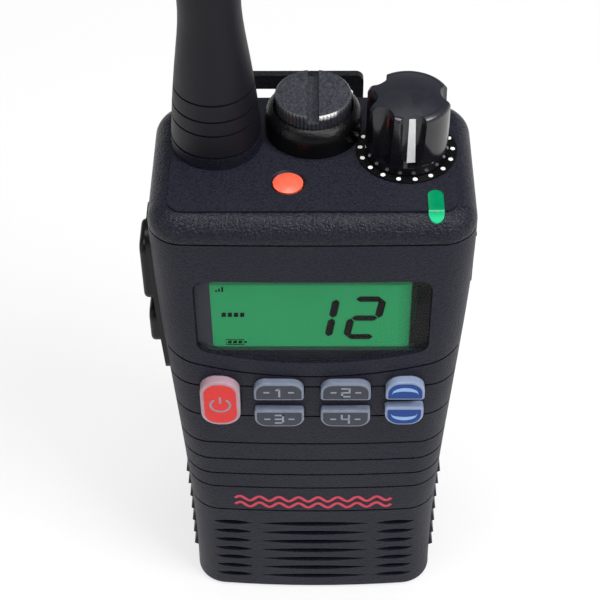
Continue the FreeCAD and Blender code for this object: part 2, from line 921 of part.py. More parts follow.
def emergency_opening():
    radius = emergency_radius + emergency_gap
    bore = upright(emergency_x, emergency_y, cover_bottom_z, plateau_z + 1, radius)
    dish = Part.makeCone(radius, radius + 2 * emergency_dish, 2 * emergency_dish,
                         V(emergency_x, emergency_y, plateau_z - emergency_dish), V(0, 0, 1))
    return bore.fuse(dish)


def make_top_cover():
    shell = shoulder_solid().cut(plan_slab(seam_z, cover_wall, cover_bottom_z - 1, cover_inner_z))
    plateau = flat_prism(plateau_corners(), cover_inner_z, plateau_z)
    rim = upright(socket_x, socket_y, cover_inner_z, rim_top_z, rim_radius)
    rim_edges = [edge for edge in rim.Edges if edge.BoundBox.ZMin > rim_top_z - 0.01]
    rim = rim.makeFillet(rim_fillet - cap_gap, rim_edges)
    seat = upright(antenna_x, antenna_y, cover_inner_z, seat_top_z, seat_radius)
    dial = upright(knob_x, knob_y, cover_inner_z, dial_z, dial_radius)
    shell = shell.multiFuse([plateau, rim, seat, dial])
    cuts = [upright(socket_x, socket_y, socket_face_z, rim_top_z + 1, cap_radius + cap_gap),
            upright(socket_x, socket_y, 0, socket_face_z + 1, socket_radius),
            upright(antenna_x, antenna_y, 0, seat_top_z + 1, antenna_socket_radius),
            upright(knob_x, knob_y, 0, dial_z + 1, bushing_radius),
            emergency_opening(),
            flat_prism(light_outline(), light_bottom_z, plateau_z + 3)]
    cuts.extend(index_dots(dot_sink + 1))
    return shell.cut(cuts)


def index_dots(height):
    dots = []
    for step in range(dot_count):
        angle = math.radians(dot_middle_angle - dot_spread / 2 + dot_spread * step / (dot_count - 1))
        x = knob_x + dot_circle * math.cos(angle)
        y = knob_y + dot_circle * math.sin(angle)
        dots.append(upright(x, y, dial_z - dot_sink, dial_z - dot_sink + height, dot_radius))
    return dots


def make_top_gasket():
    outer = plan_slab(seam_z, gasket_outer_inset, case_top_z, cover_bottom_z)
    return outer.cut(plan_slab(seam_z, gasket_inner_inset, case_top_z - 1, cover_bottom_z + 1))


# Display lens, printed mask and display module

def make_display_lens():
    return lens_prism(0, front_y - 3, lens_back_y).common(lens_core)


def make_display_mask():
    view = front_prism(rectangle(view_left_x, view_right_x, view_low_z, view_high_z, view_corner_radius),
                       lens_back_y - 1, module_y + 1)
    return lens_prism(0, lens_back_y, module_y).cut(view)


def make_display_module():
    return box(module_left_x, module_right_x, module_y, module_y + module_depth, module_low_z, module_high_z)


# Membrane and board behind the keys

def make_keypad_membrane():
    return box(-pad_half_width, pad_half_width, ring_y, membrane_back_y, pad_low_z, pad_high_z)


def make_keypad_board():
    return box(pad_wall - pad_half_width, pad_half_width - pad_wall, membrane_back_y, key_board_back_y,
               pad_low_z + pad_wall, pad_high_z - pad_wall)


# Speaker, its cloth and the microphone

def make_speaker_cloth():
    sheet = box(-cloth_half_width, cloth_half_width, cloth_y, cloth_y + cloth_thickness, cloth_low_z,
                cloth_high_z)
    return sheet.common(plug_body)


def make_speaker():
    rim_y = cloth_y + cloth_thickness
    rim = along_y(0, speaker_z, rim_y, rim_y + speaker_rim_depth, speaker_radius)
    magnet = along_y(0, speaker_z, rim_y + speaker_rim_depth, rim_y + speaker_depth, speaker_magnet_radius)
    dish = along_y(0, speaker_z, rim_y - 1, rim_y + speaker_rim_depth / 2, speaker_magnet_radius)
    return rim.fuse(magnet).cut(dish)


def make_microphone():
    rim_y = cloth_y + cloth_thickness
    return along_y(microphone_x, microphone_z, rim_y, rim_y + microphone_depth, microphone_radius)


# Accessory socket with its pins, the cap and the cap's seal

def make_accessory_socket():
    body = upright(socket_x, socket_y, socket_bottom_z, socket_face_z, socket_radius)
    body = body.cut(upright(socket_x, socket_y, socket_floor_z, socket_face_z + 1, socket_bore_radius))
    return body.cut(pin_group(socket_floor_z - socket_pin_root, socket_floor_z + 1))


def pin_group(z0, z1):
    pins = []
    for step in range(socket_pins):
        angle = 2 * math.pi * step / socket_pins
        pins.append(upright(socket_x + socket_pin_circle * math.cos(angle),
                            socket_y + socket_pin_circle * math.sin(angle), z0, z1, socket_pin_radius))
    return pins


def make_accessory_pins():
    return Part.makeCompound(pin_group(socket_floor_z - socket_pin_root,
                                  socket_floor_z + socket_pin_height))


def make_cap_seal():
    return tube(socket_x, socket_y, socket_face_z + print_gap, socket_face_z + print_gap + cap_seal_height,
                cap_seal_outer_radius, cap_seal_inner_radius)


def make_accessory_cap():
    star = []
    for step in range(2 * cap_knurls):
        radius = cap_radius if step % 2 == 0 else cap_radius - knurl_depth
        angle = math.pi * step / cap_knurls
        star.append((socket_x + radius * math.cos(angle), socket_y + radius * math.sin(angle), 0))
    head = flat_prism(star, cap_seat_z, cap_top_z)
    bevelled = turned([(0, cap_seat_z), (cap_radius + 1, cap_seat_z),
                       (cap_radius + 1, cap_top_z - cap_edge - 1),
                       (cap_radius - cap_edge, cap_top_z), (0, cap_top_z)], socket_x, socket_y)
    head = head.common(bevelled)
    spigot = upright(socket_x, socket_y, spigot_end_z, cap_seat_z, spigot_radius)
    slot = box(socket_x - cap_slot_width / 2, socket_x + cap_slot_width / 2, socket_y - far, socket_y + far,
               cap_top_z - cap_slot_depth, cap_top_z + 1)
    return head.fuse(spigot).cut(slot)


# Antenna: a rubber whip moulded round a radiator, on a threaded metal foot

def make_antenna_sheath():
    base = antenna_z
    x, y = antenna_x, antenna_y
    tip_z = base + antenna_length - antenna_tip_radius
    heel = V(x, y, base)
    swell = [V(x + antenna_bottom_radius, y, base)]
    for rise, radius in antenna_swell:
        swell.append(V(x + radius, y, base + rise))
    swell.append(V(x + antenna_neck_radius, y, base + antenna_neck_rise))
    curve = Part.BSplineCurve()
    curve.interpolate(swell)
    edges = [Part.LineSegment(heel, swell[0]).toShape(), curve.toShape(),
             Part.LineSegment(swell[-1], V(x + antenna_tip_radius, y, tip_z)).toShape(),
             dome_arc(x, y, antenna_tip_radius, tip_z, tip_z + antenna_tip_radius),
             Part.LineSegment(V(x, y, tip_z + antenna_tip_radius), heel).toShape()]
    whip = Part.Face(Part.Wire(edges)).revolve(V(x, y, 0), V(0, 0, 1), 360)
    cuts = [upright(x, y, base - 1, base + foot_disc_height, foot_disc_radius),
            upright(x, y, base, base + antenna_length - radiator_top_gap, radiator_radius)]
    for rise in antenna_groove_rises:
        cuts.append(tube(x, y, base + rise, base + rise + antenna_groove_width, antenna_bottom_radius + 2,
                         groove_radius(rise)))
    return whip.cut(cuts)


def groove_radius(rise):
    # the rubber's radius at this height, less the groove's depth
    heights = [0.0] + [height for height, _ in antenna_swell]
    radii = [antenna_bottom_radius] + [radius for _, radius in antenna_swell]
    for index in range(1, len(heights)):
        if rise <= heights[index]:
            share = (rise - heights[index - 1]) / (heights[index] - heights[index - 1])
            return radii[index - 1] + (radii[index] - radii[index - 1]) * share - antenna_groove_depth
    return radii[-1] - antenna_groove_depth


def make_antenna_radiator():
    return upright(antenna_x, antenna_y, antenna_z + foot_disc_height,
                   antenna_z + antenna_length - radiator_top_gap, radiator_radius)


def make_antenna_foot():
    disc = upright(antenna_x, antenna_y, antenna_z, antenna_z + foot_disc_height, foot_disc_radius)
    return disc.fuse(upright(antenna_x, antenna_y, antenna_z - stud_length, antenna_z, stud_radius))


def make_antenna_seal():
    return tube(antenna_x, antenna_y, seat_top_z, seat_top_z + antenna_seal_height,
                antenna_seal_outer_radius, antenna_seal_inner_radius)


def make_antenna_socket():
    body = upright(antenna_x, antenna_y, antenna_socket_bottom_z, seat_top_z - print_gap,
                   antenna_socket_radius)
    bore = upright(antenna_x, antenna_y, antenna_z - stud_length - 1, seat_top_z + 1, stud_radius + stud_gap)
    return body.cut(bore)


# Volume knob: a collar and a fluted grip with a white pointer, on a metal shaft

def flute_cutters():
    cutters = []
    base_z = knob_z + collar_height
    rise = knob_top_rise - collar_height
    lean = flute_low_radius - flute_high_radius
    for step in range(knob_flutes):
        angle = math.radians(pointer_angle + 360.0 * step / knob_flutes)
        out = V(math.cos(angle), math.sin(angle), 0)
        foot = V(knob_x, knob_y, base_z) + out * (flute_low_radius + flute_cutter_radius)
        axis = V(0, 0, rise) - out * lean
        cutters.append(Part.makeCylinder(flute_cutter_radius, rise * 1.3, foot, axis))
    return cutters


def pointer_prism(sink, proud):
    # a tapered strip that follows the front flute
    angle = math.radians(pointer_angle)
    out = V(math.cos(angle), math.sin(angle), 0)
    across = V(-math.sin(angle), math.cos(angle), 0)
    rise = knob_top_rise - collar_height

    def flute_radius_at(height):
        return flute_low_radius + (flute_high_radius - flute_low_radius) * (height - collar_height) / rise

    sections = []
    for height, width in ((pointer_low_rise, pointer_low_width), (pointer_high_rise, pointer_high_width)):
        middle = V(knob_x, knob_y, knob_z + height)
        inner = middle + out * (flute_radius_at(height) - sink)
        outer = middle + out * (flute_radius_at(height) + proud)
        corners = [inner - across * (width / 2), outer - across * (width / 2),
                   outer + across * (width / 2), inner + across * (width / 2)]
        sections.append(Part.makePolygon(corners + [corners[0]]))
    return Part.makeLoft(sections, True, True)


def make_volume_knob():
    base = knob_z
    points = [(0, base), (collar_radius, base), (collar_radius, base + collar_height),
              (knob_lobe_radius, base + collar_height), (knob_lobe_radius, base + knob_shoulder_rise)]
    start = V(knob_x + knob_lobe_radius, knob_y, base + knob_shoulder_rise)
    bend = V(knob_x + knob_lobe_radius - knob_bend_in, knob_y, base + knob_rim_rise - knob_bend_drop)
    rim = V(knob_x + knob_rim_radius, knob_y, base + knob_rim_rise)
    crown = V(knob_x, knob_y, base + knob_top_rise)
    places = [V(knob_x + radius, knob_y, z) for radius, z in points]
    edges = [Part.LineSegment(a, b).toShape() for a, b in zip(places, places[1:])]
    edges.append(three_point_arc(start, bend, rim))
    edges.append(dome_arc(knob_x, knob_y, knob_rim_radius, base + knob_rim_rise, base + knob_top_rise))
    edges.append(Part.LineSegment(crown, places[0]).toShape())
    grip = Part.Face(Part.Wire(edges)).revolve(V(knob_x, knob_y, 0), V(0, 0, 1), 360)
    cuts = flute_cutters()
    cuts.append(upright(knob_x, knob_y, base - 1, base + shaft_socket_rise, shaft_radius))
    cuts.append(upright(knob_x, knob_y, base - 1, plateau_z + dial_height + knob_seal_height + knob_gap,
                        knob_seal_radius + knob_gap))
    cuts.append(pointer_prism(pointer_depth, 1.0))
    return grip.cut(cuts)


def make_knob_shaft():
    return upright(knob_x, knob_y, shaft_bottom_z, knob_z + shaft_socket_rise, shaft_radius)


def make_volume_potentiometer():
    half = pot_size / 2
    body = box(knob_x - half, knob_x + half, knob_y - half, knob_y + half, top_board_top_z,
               top_board_top_z + pot_height)
    body = body.fuse(upright(knob_x, knob_y, top_board_top_z, dial_z, bushing_radius))
    return body.cut(upright(knob_x, knob_y, shaft_bottom_z - 1, dial_z + 1, shaft_radius + shaft_gap))


def make_knob_seal():
    return tube(knob_x, knob_y, dial_z, dial_z + knob_seal_height, knob_seal_radius, shaft_radius + shaft_gap)


# Emergency button and its switch

emergency_flange_top_z = cover_inner_z - plug_gap
emergency_flange_low_z = emergency_flange_top_z - emergency_flange_height
emergency_stem_end_z = emergency_flange_low_z - emergency_stem_length


def make_emergency_button():
    top = plateau_z + emergency_proud
    x, y = emergency_x, emergency_y
    edges = [Part.LineSegment(V(x, y, emergency_flange_low_z),
                              V(x + emergency_radius, y, emergency_flange_low_z)).toShape(),
             Part.LineSegment(V(x + emergency_radius, y, emergency_flange_low_z),
                              V(x + emergency_radius, y, top - emergency_dome)).toShape(),
             dome_arc(x, y, emergency_radius, top - emergency_dome, top),
             Part.LineSegment(V(x, y, top), V(x, y, emergency_flange_low_z)).toShape()]
    cap = Part.Face(Part.Wire(edges)).revolve(V(x, y, 0), V(0, 0, 1), 360)
    flange = upright(x, y, emergency_flange_low_z, emergency_flange_top_z,
                     emergency_radius + emergency_flange)
    stem = upright(x, y, emergency_stem_end_z, emergency_flange_low_z, emergency_stem_radius)
    return cap.multiFuse([flange, stem])


def make_emergency_switch():
    half = emergency_switch_size / 2
    return box(emergency_x - half, emergency_x + half, emergency_y - half, emergency_y + half,
               top_board_top_z, emergency_stem_end_z - emergency_travel - print_gap)


# Push-to-talk button, side button, their frame and their switch board

ptt_flange_x = wall + side_wall_gap - half_width(ptt_low_z - side_flange)
side_button_flange_x = wall + side_wall_gap - half_width(side_button_low_z - side_flange)
side_board_x = ptt_flange_x + side_flange_thickness + ptt_travel + side_board_clear


def make_side_key_frame():
    pad = side_frame_blank(-far, 0).common(side_skin).cut(side_core)
    pad = pad.common(box(-far, 0, -far, far, 0, far))
    windows = [side_window(ptt_low_z, ptt_high_z, side_button_gap, -far, 0),
               side_window(side_button_low_z, side_button_high_z, side_button_gap, -far, 0)]
    return pad.cut(windows)


def side_push(low, high, face_x, flange_x):
    body = side_window(low, high, 0, -face_x, flange_x)
    outer_edges = [edge for edge in body.Edges if edge.BoundBox.XMax < 0.01 - face_x]
    body = body.makeFillet(side_button_edge, outer_edges)
    flange = side_window(low, high, side_flange, flange_x, flange_x + side_flange_thickness)
    return body.fuse(flange).removeSplitter()


def make_ptt_button():
    return side_push(ptt_low_z, ptt_high_z, ptt_face_x, ptt_flange_x)


def make_side_button():
    return side_push(side_button_low_z, side_button_high_z, side_button_face_x, side_button_flange_x)


def make_side_switch_board():
    board = box(side_board_x, side_board_x + side_board_thickness, side_board_front_y, side_board_back_y,
                side_board_low_z, side_board_high_z)
    switches = []
    half = side_switch_size / 2
    middle_y = (side_board_front_y + side_board_back_y) / 2
    for low, high, back, travel in (
            (ptt_low_z, ptt_high_z, ptt_flange_x, ptt_travel),
            (side_button_low_z, side_button_high_z, side_button_flange_x, side_button_travel)):
        middle_z = (low + high) / 2
        front = back + side_flange_thickness + travel + side_switch_clear
        switches.append(box(front, side_board_x, middle_y - half, middle_y + half, middle_z - half,
                            middle_z + half))
    return board.multiFuse(switches)


# Rubber port cover on the other flank

def make_side_port_cover():
    base = port_blank(-plug_gap, flank_inside_x, half_width(port_high_z) + port_proud).cut(side_core)
    ribs = []
    for level in port_rib_levels:
        half = port_rib_height / 2
        crest = half_width(level) + port_rib_proud
        foot = half_width(level) - port_rib_sunk
        corners = [(foot, level - half, 0), (crest, level - half / 3, 0), (crest, level + half / 3, 0),
                   (foot, level + half, 0)]
        ribs.append(front_prism(corners, port_front_y + port_corner, port_back_y - port_corner))
    return base.multiFuse(ribs)


# Boards, shield and metal frame inside the case

def make_main_board():
    board = box(-board_half_width, board_half_width, main_board_y, frame_plate_y, main_board_low_z,
                main_board_high_z)
    return board.cut(screw_holes(post_radius + bay_gap, main_board_y - 1, frame_plate_y + 1))


def make_shield_can():
    can = box(-shield_half_width, shield_half_width, main_board_y - shield_depth, main_board_y, shield_low_z,
              shield_high_z)
    inside = box(shield_wall - shield_half_width, shield_half_width - shield_wall,
                 main_board_y - shield_depth + shield_wall, main_board_y, shield_low_z + shield_wall,
                 shield_high_z - shield_wall)
    return can.cut(inside)


def make_chassis_frame():
    plate = box(-board_half_width, board_half_width, frame_plate_y, bay_plate_y, main_board_low_z,
                top_board_z)
    shelf = box(-board_half_width, board_half_width, frame_plate_y, frame_shelf_back_y, frame_shelf_z,
                top_board_z)
    cuts = screw_holes(post_radius + bay_gap, frame_plate_y - 1, bay_plate_y + 1)
    cuts.append(upright(socket_x, socket_y, 0, far, socket_radius + bay_gap))
    cuts.append(upright(antenna_x, antenna_y, 0, far, antenna_socket_radius + bay_gap))
    for x in lug_xs:
        half = lug_width / 2 + lug_gap
        cuts.append(box(x - half, x + half, split_y - bay_plate_thickness - 1, bay_plate_y + 1,
                        lug_z - lug_gap, lug_z + lug_height + lug_gap))
    return plate.fuse(shelf).cut(cuts)


def make_top_board():
    board = box(top_board_left_x, board_half_width, top_board_front_y, frame_shelf_back_y, top_board_z,
                top_board_top_z)
    cuts = [upright(socket_x, socket_y, 0, far, socket_radius + bay_gap),
            upright(antenna_x, antenna_y, 0, far, antenna_socket_radius + bay_gap)]
    return board.cut(cuts)


def make_bay_contacts():
    return Part.makeCompound([along_y(x, bay_contact_z, bay_plate_y, split_y + bay_contact_proud,
                                      bay_contact_radius) for x in bay_contact_xs])


# Battery pack

def make_battery_shell():
    shell = outer_body.common(box(-far, far, bay_back_y, far, -1, battery_top_z))
    hollow = inner_body.common(box(-far, far, bay_back_y - 1, far, 0, battery_top_z - wall))
    shell = shell.cut(hollow)
    return shell.cut(bracket_screw_shapes(screw_radius, rear_y - wall - 1, rear_y + 1))


def make_battery_lid():
    lid = plug_body.common(box(-far, far, bay_back_y, bay_back_y + lid_thickness, 0,
                               battery_top_z - wall - plug_gap))
    lugs = []
    for x in lug_xs:
        lugs.append(box(x - lug_width / 2, x + lug_width / 2, bay_back_y - lug_reach,
                        bay_back_y + lid_thickness / 2, lug_z, lug_z + lug_height))
    lid = lid.multiFuse(lugs)
    return lid.cut(contact_pads(bay_back_y - 1))


def contact_pads(front):
    pads = []
    for x in bay_contact_xs:
        pads.append(box(x - battery_contact_half, x + battery_contact_half, front,
                        bay_back_y + battery_contact_thickness, bay_contact_z - battery_contact_half,
                        bay_contact_z + battery_contact_half))
    return pads


def make_battery_contacts():
    return Part.makeCompound(contact_pads(bay_back_y))


def make_battery_cells():
    cells = []
    front = bay_back_y + lid_thickness + cell_gap
    back = rear_y - wall - cell_gap
    for step in range(cell_count):
        left = (step - cell_count / 2) * (cell_width + cell_gap) + cell_gap / 2
        corners = rectangle(left, left + cell_width, front, back, cell_corner)
        cells.append(flat_prism(corners, cell_low_z, cell_high_z))
    return Part.makeCompound(cells)


# Battery latch

def make_battery_latch():
    high = latch_low_z + latch_height
    flange_y = rear_y - latch_lip
    slab = box(-latch_half_width, latch_half_width, flange_y - latch_gap / 2, rear_y, latch_low_z, high)
    flange = box(-latch_half_width - latch_flange, latch_half_width + latch_flange,
                 flange_y - latch_gap / 2 - latch_flange_thickness, flange_y - latch_gap / 2,
                 latch_low_z, high)
    ribs = []
    for step in range(latch_ribs):
        z = latch_low_z + latch_height * (step + 0.5) / latch_ribs
        ribs.append(box(latch_rib_inset - latch_half_width, latch_half_width - latch_rib_inset,
                        rear_y - latch_rib_height, rear_y + latch_rib_height, z - latch_rib_height / 2,
                        z + latch_rib_height / 2))
    return slab.multiFuse([flange] + ribs)


# Belt clip: a bracket with two ears, a pin, a sprung lever and its torsion spring

def bracket_screw_shapes(radius, y0, y1):
    return [along_y(clip_x + side * bracket_screw_x, bracket_screw_z, y0, y1, radius) for side in (-1, 1)]


def make_clip_bracket():
    base = front_prism(rectangle(clip_x - bracket_half_width, clip_x + bracket_half_width, bracket_low_z,
                                 bracket_high_z, clip_corner), rear_y, rear_y + bracket_thickness)
    parts = [base]
    for side in (-1, 1):
        near = clip_x + side * ear_inner_x
        out = clip_x + side * (ear_inner_x + ear_thickness)
        left, right = min(near, out), max(near, out)
        parts.append(box(left, right, rear_y + bracket_thickness / 2, pin_y, clip_pivot_z - ear_radius,
                         clip_pivot_z + ear_radius))
        parts.append(along_x(pin_y, clip_pivot_z, left, right, ear_radius))
    bracket = parts[0].multiFuse(parts[1:])
    cuts = [along_x(pin_y, clip_pivot_z, clip_x - far, clip_x + far, pin_radius)]
    cuts.extend(bracket_screw_shapes(screw_radius, rear_y - 1, rear_y + 5))
    return bracket.cut(cuts)


def make_clip_screws():
    screws = []
    head_y = rear_y + bracket_thickness
    for head, shank in zip(bracket_screw_shapes(screw_head_radius, head_y, head_y + screw_head_height),
                           bracket_screw_shapes(screw_radius, rear_y - wall, head_y)):
        screws.append(head.fuse(shank))
    return Part.makeCompound(screws)


def make_clip_pin():
    reach = ear_inner_x + ear_thickness
    return along_x(pin_y, clip_pivot_z, clip_x - reach, clip_x + reach, pin_radius)


def make_belt_clip():
    half = clip_half_width
    finger = clip_finger_half_width
    flare_z = clip_waist_z + clip_flare
    corners = []
    for side in (-1, 1):
        edge = [(clip_x + side * finger, clip_bottom_z, clip_end_radius),
                (clip_x + side * finger, clip_waist_z, clip_flare_radius),
                (clip_x + side * half, flare_z, clip_flare_radius),
                (clip_x + side * half, clip_top_z, clip_corner)]
        corners.extend(edge[::-side])
    plate = front_prism(corners, clip_inner_y, clip_outer_y)
    window = front_prism(rectangle(clip_x - clip_window_half_width, clip_x + clip_window_half_width,
                                   clip_window_low_z, clip_top_z - clip_bar_height, clip_window_corner),
                         clip_inner_y - 1, clip_outer_y + 1)
    root_y = clip_inner_y + clip_thickness / 4
    nose_y = rear_y + clip_tip_gap
    tip_corners = [(root_y, clip_bottom_z, 0), (root_y, clip_bottom_z + 2 * clip_tip_height, 0),
                   (nose_y, clip_bottom_z + clip_tip_height, clip_tip_radius),
                   (nose_y, clip_bottom_z, clip_tip_radius)]
    tip = side_prism(tip_corners, clip_x + clip_end_radius - finger, clip_x + finger - clip_end_radius)
    rib_root_y = clip_outer_y - clip_rib_sunk
    rib_y = clip_outer_y + clip_rib_proud
    rib_low_z = clip_bottom_z + clip_rib_low
    rib = side_prism([(rib_root_y, rib_low_z, 0), (rib_root_y, clip_waist_z, 0),
                      (rib_y, clip_waist_z - clip_rib_high_slope, clip_rib_corner),
                      (rib_y, rib_low_z + clip_rib_low_slope, clip_rib_corner)],
                     clip_x - clip_rib_half_width, clip_x + clip_rib_half_width)
    parts = [tip, rib]
    for side in (-1, 1):
        near = clip_x + side * knuckle_inner_x
        out = clip_x + side * (ear_inner_x - knuckle_gap)
        left, right = min(near, out), max(near, out)
        parts.append(along_x(pin_y, clip_pivot_z, left, right, ear_radius))
        parts.append(box(left, right, pin_y, root_y, clip_pivot_z - ear_radius,
                         clip_pivot_z + ear_radius))
    lever = plate.cut(window).multiFuse(parts)
    return lever.cut(along_x(pin_y, clip_pivot_z, clip_x - far, clip_x + far, pin_radius + pin_gap))


def biarc(start, start_way, end, end_way):
    # two arcs that leave start along start_way and reach end along end_way
    gap = end - start
    ways = start_way + end_way
    bend = 2 * (1 - start_way.dot(end_way))
    reach = (math.sqrt(gap.dot(ways) ** 2 + bend * gap.dot(gap)) - gap.dot(ways)) / bend
    meet = (start + end + (start_way - end_way) * reach) * 0.5
    arcs = []
    for near, corner, out in ((start, start + start_way * reach, meet), (meet, end - end_way * reach, end)):
        weight = (out - near).Length / (2 * reach)
        middle = (near + out + corner * (2 * weight)) * (1 / (2 + 2 * weight))
        arcs.append(three_point_arc(near, middle, out))
    return arcs


def make_clip_spring():
    # the coil winds along the pin; one leg bears on the lever, the other on the bracket
    steps = round(spring_turns * 4)
    length = spring_pitch * spring_turns
    places = []
    ways = []
    for step in range(steps + 1):
        angle = -math.pi * step / 2
        along = clip_x - length / 2 + length * step / steps
        places.append(V(along, pin_y + spring_radius * math.cos(angle),
                        clip_pivot_z + spring_radius * math.sin(angle)))
        way = V(spring_pitch / (2 * math.pi), spring_radius * math.sin(angle),
                -spring_radius * math.cos(angle))
        ways.append(way.normalize())
    start = places[0] - ways[0] * spring_leg
    edges = [Part.LineSegment(start, places[0]).toShape()]
    for step in range(steps):
        edges.extend(biarc(places[step], ways[step], places[step + 1], ways[step + 1]))
    edges.append(Part.LineSegment(places[-1], places[-1] + ways[-1] * spring_leg).toShape())
    ring = Part.Wire([Part.makeCircle(spring_wire / 2, start, ways[0])])
    print("spring turns stand apart by", round(spring_pitch - spring_wire, 2), "mm")
    return Part.Wire(edges).makePipeShell([ring], True, False)


# Write one file for each piece
os.makedirs("parts", exist_ok=True)

export("front_case", make_front_case())
export("rear_case", make_rear_case())
export("case_screws", make_case_screws())
export("top_cover", make_top_cover())
export("top_gasket", make_top_gasket())
export("index_dots", Part.makeCompound(index_dots(dot_sink + dot_proud)))
export("status_light", make_status_light())
export("display_lens", make_display_lens())
export("display_mask", make_display_mask())
export("display_module", make_display_module())
for key_name in keys:
    export(key_name, make_key(key_name))
export("keypad_membrane", make_keypad_membrane())
export("keypad_board", make_keypad_board())
export("speaker_cloth", make_speaker_cloth())
export("speaker", make_speaker())
export("microphone", make_microphone())
export("accessory_socket", make_accessory_socket())
export("accessory_pins", make_accessory_pins())
export("cap_seal", make_cap_seal())
export("accessory_cap", make_accessory_cap())
export("antenna_sheath", make_antenna_sheath())
export("antenna_radiator", make_antenna_radiator())
export("antenna_foot", make_antenna_foot())
export("antenna_seal", make_antenna_seal())
export("antenna_socket", make_antenna_socket())
export("volume_knob", make_volume_knob())
export("knob_pointer", pointer_prism(pointer_depth, pointer_proud))
export("knob_shaft", make_knob_shaft())
export("volume_potentiometer", make_volume_potentiometer())
export("knob_seal", make_knob_seal())
export("emergency_button", make_emergency_button())
export("emergency_switch", make_emergency_switch())
export("side_key_frame", make_side_key_frame())
export("ptt_button", make_ptt_button())
export("side_button", make_side_button())
export("side_switch_board", make_side_switch_board())
export("side_port_cover", make_side_port_cover())
export("main_board", make_main_board())
export("shield_can", make_shield_can())
export("chassis_frame", make_chassis_frame())
export("top_board", make_top_board())
export("bay_contacts", make_bay_contacts())
export("battery_shell", make_battery_shell())
export("battery_lid", make_battery_lid())
export("battery_contacts", make_battery_contacts())
export("battery_cells", make_battery_cells())
export("battery_latch", make_battery_latch())
export("clip_bracket", make_clip_bracket())
export("clip_screws", make_clip_screws())
export("clip_pin", make_clip_pin())
export("belt_clip", make_belt_clip())
export("clip_spring", make_clip_spring())
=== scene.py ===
import math

import bmesh
import bpy
from mathutils import Matrix, Vector
from mathutils.bvhtree import BVHTree


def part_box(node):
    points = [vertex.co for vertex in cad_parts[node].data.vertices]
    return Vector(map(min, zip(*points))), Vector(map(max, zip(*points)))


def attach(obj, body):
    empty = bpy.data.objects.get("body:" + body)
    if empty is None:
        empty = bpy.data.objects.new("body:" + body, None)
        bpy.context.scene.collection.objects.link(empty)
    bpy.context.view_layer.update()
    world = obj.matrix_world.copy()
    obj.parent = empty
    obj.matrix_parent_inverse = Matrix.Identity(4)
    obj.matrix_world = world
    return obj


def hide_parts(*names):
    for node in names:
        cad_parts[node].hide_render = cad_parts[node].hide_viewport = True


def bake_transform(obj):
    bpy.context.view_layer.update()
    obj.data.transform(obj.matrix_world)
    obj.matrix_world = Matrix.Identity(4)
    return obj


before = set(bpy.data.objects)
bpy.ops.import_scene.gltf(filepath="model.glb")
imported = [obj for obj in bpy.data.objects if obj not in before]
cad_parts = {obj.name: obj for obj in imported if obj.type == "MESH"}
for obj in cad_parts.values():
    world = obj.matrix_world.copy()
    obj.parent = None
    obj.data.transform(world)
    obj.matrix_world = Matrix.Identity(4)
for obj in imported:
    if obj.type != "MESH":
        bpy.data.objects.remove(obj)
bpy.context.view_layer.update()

# The camera stands in front of the radio and looks down on it with a long lens, so that the
# top cover, the display and the keys all show and the antenna leaves the picture at the top.
camera_place = Vector((0.0009, -0.23086, 0.31916))
camera_yaw = math.radians(-0.89)
camera_down = math.radians(46.25)
camera_roll = math.radians(-0.66)
ahead = Vector((math.sin(camera_yaw) * math.cos(camera_down),
                math.cos(camera_yaw) * math.cos(camera_down), -math.sin(camera_down)))
level_right = Vector((math.cos(camera_yaw), -math.sin(camera_yaw), 0))
level_up = level_right.cross(ahead)
camera_right = level_right * math.cos(camera_roll) + level_up * math.sin(camera_roll)
camera_up = level_up * math.cos(camera_roll) - level_right * math.sin(camera_roll)
camera_lens = bpy.data.cameras.new("camera")
camera_lens.lens = 96
camera_lens.sensor_width = 36
camera_lens.clip_start = 0.01
camera = bpy.data.objects.new("camera", camera_lens)
turn = Matrix((camera_right, camera_up, -ahead)).transposed().to_4x4()
camera.matrix_world = Matrix.Translation(camera_place) @ turn
bpy.context.collection.objects.link(camera)
bpy.context.scene.camera = camera
bpy.context.scene.view_settings.view_transform = "Standard"


# The studio is a pale paper floor under three large soft lamps: one from the right and above,
# a weaker one from the left, and one overhead. The paper runs on as white behind the radio.
def linear(shade):
    channels = [int(shade[i:i + 2], 16) / 255 for i in (1, 3, 5)]
    return tuple(c / 12.92 if c <= 0.04045 else ((c + 0.055) / 1.055) ** 2.4 for c in channels) + (1.0,)


def per_mm(size):
    # texture scale whose features are this many millimetres wide
    return 1000 / size


def feed(tree, node, sockets):
    # another node's output is wired to the socket, and a plain value is set on it
    for socket, value in sockets.items():
        if isinstance(value, bpy.types.NodeSocket):
            tree.links.new(value, node.inputs[socket])
        else:
            node.inputs[socket].default_value = value


def add(tree, kind, sockets=None, **settings):
    node = tree.nodes.new(kind)
    for name, value in settings.items():
        setattr(node, name, value)
    feed(tree, node, sockets or {})
    return node


def new_finish(name):
    finish = bpy.data.materials.new(name)
    finish.use_nodes = True
    tree = finish.node_tree
    shader = tree.nodes["Principled BSDF"]
    place = add(tree, "ShaderNodeTexCoord").outputs["Object"]
    return finish, tree, shader, place


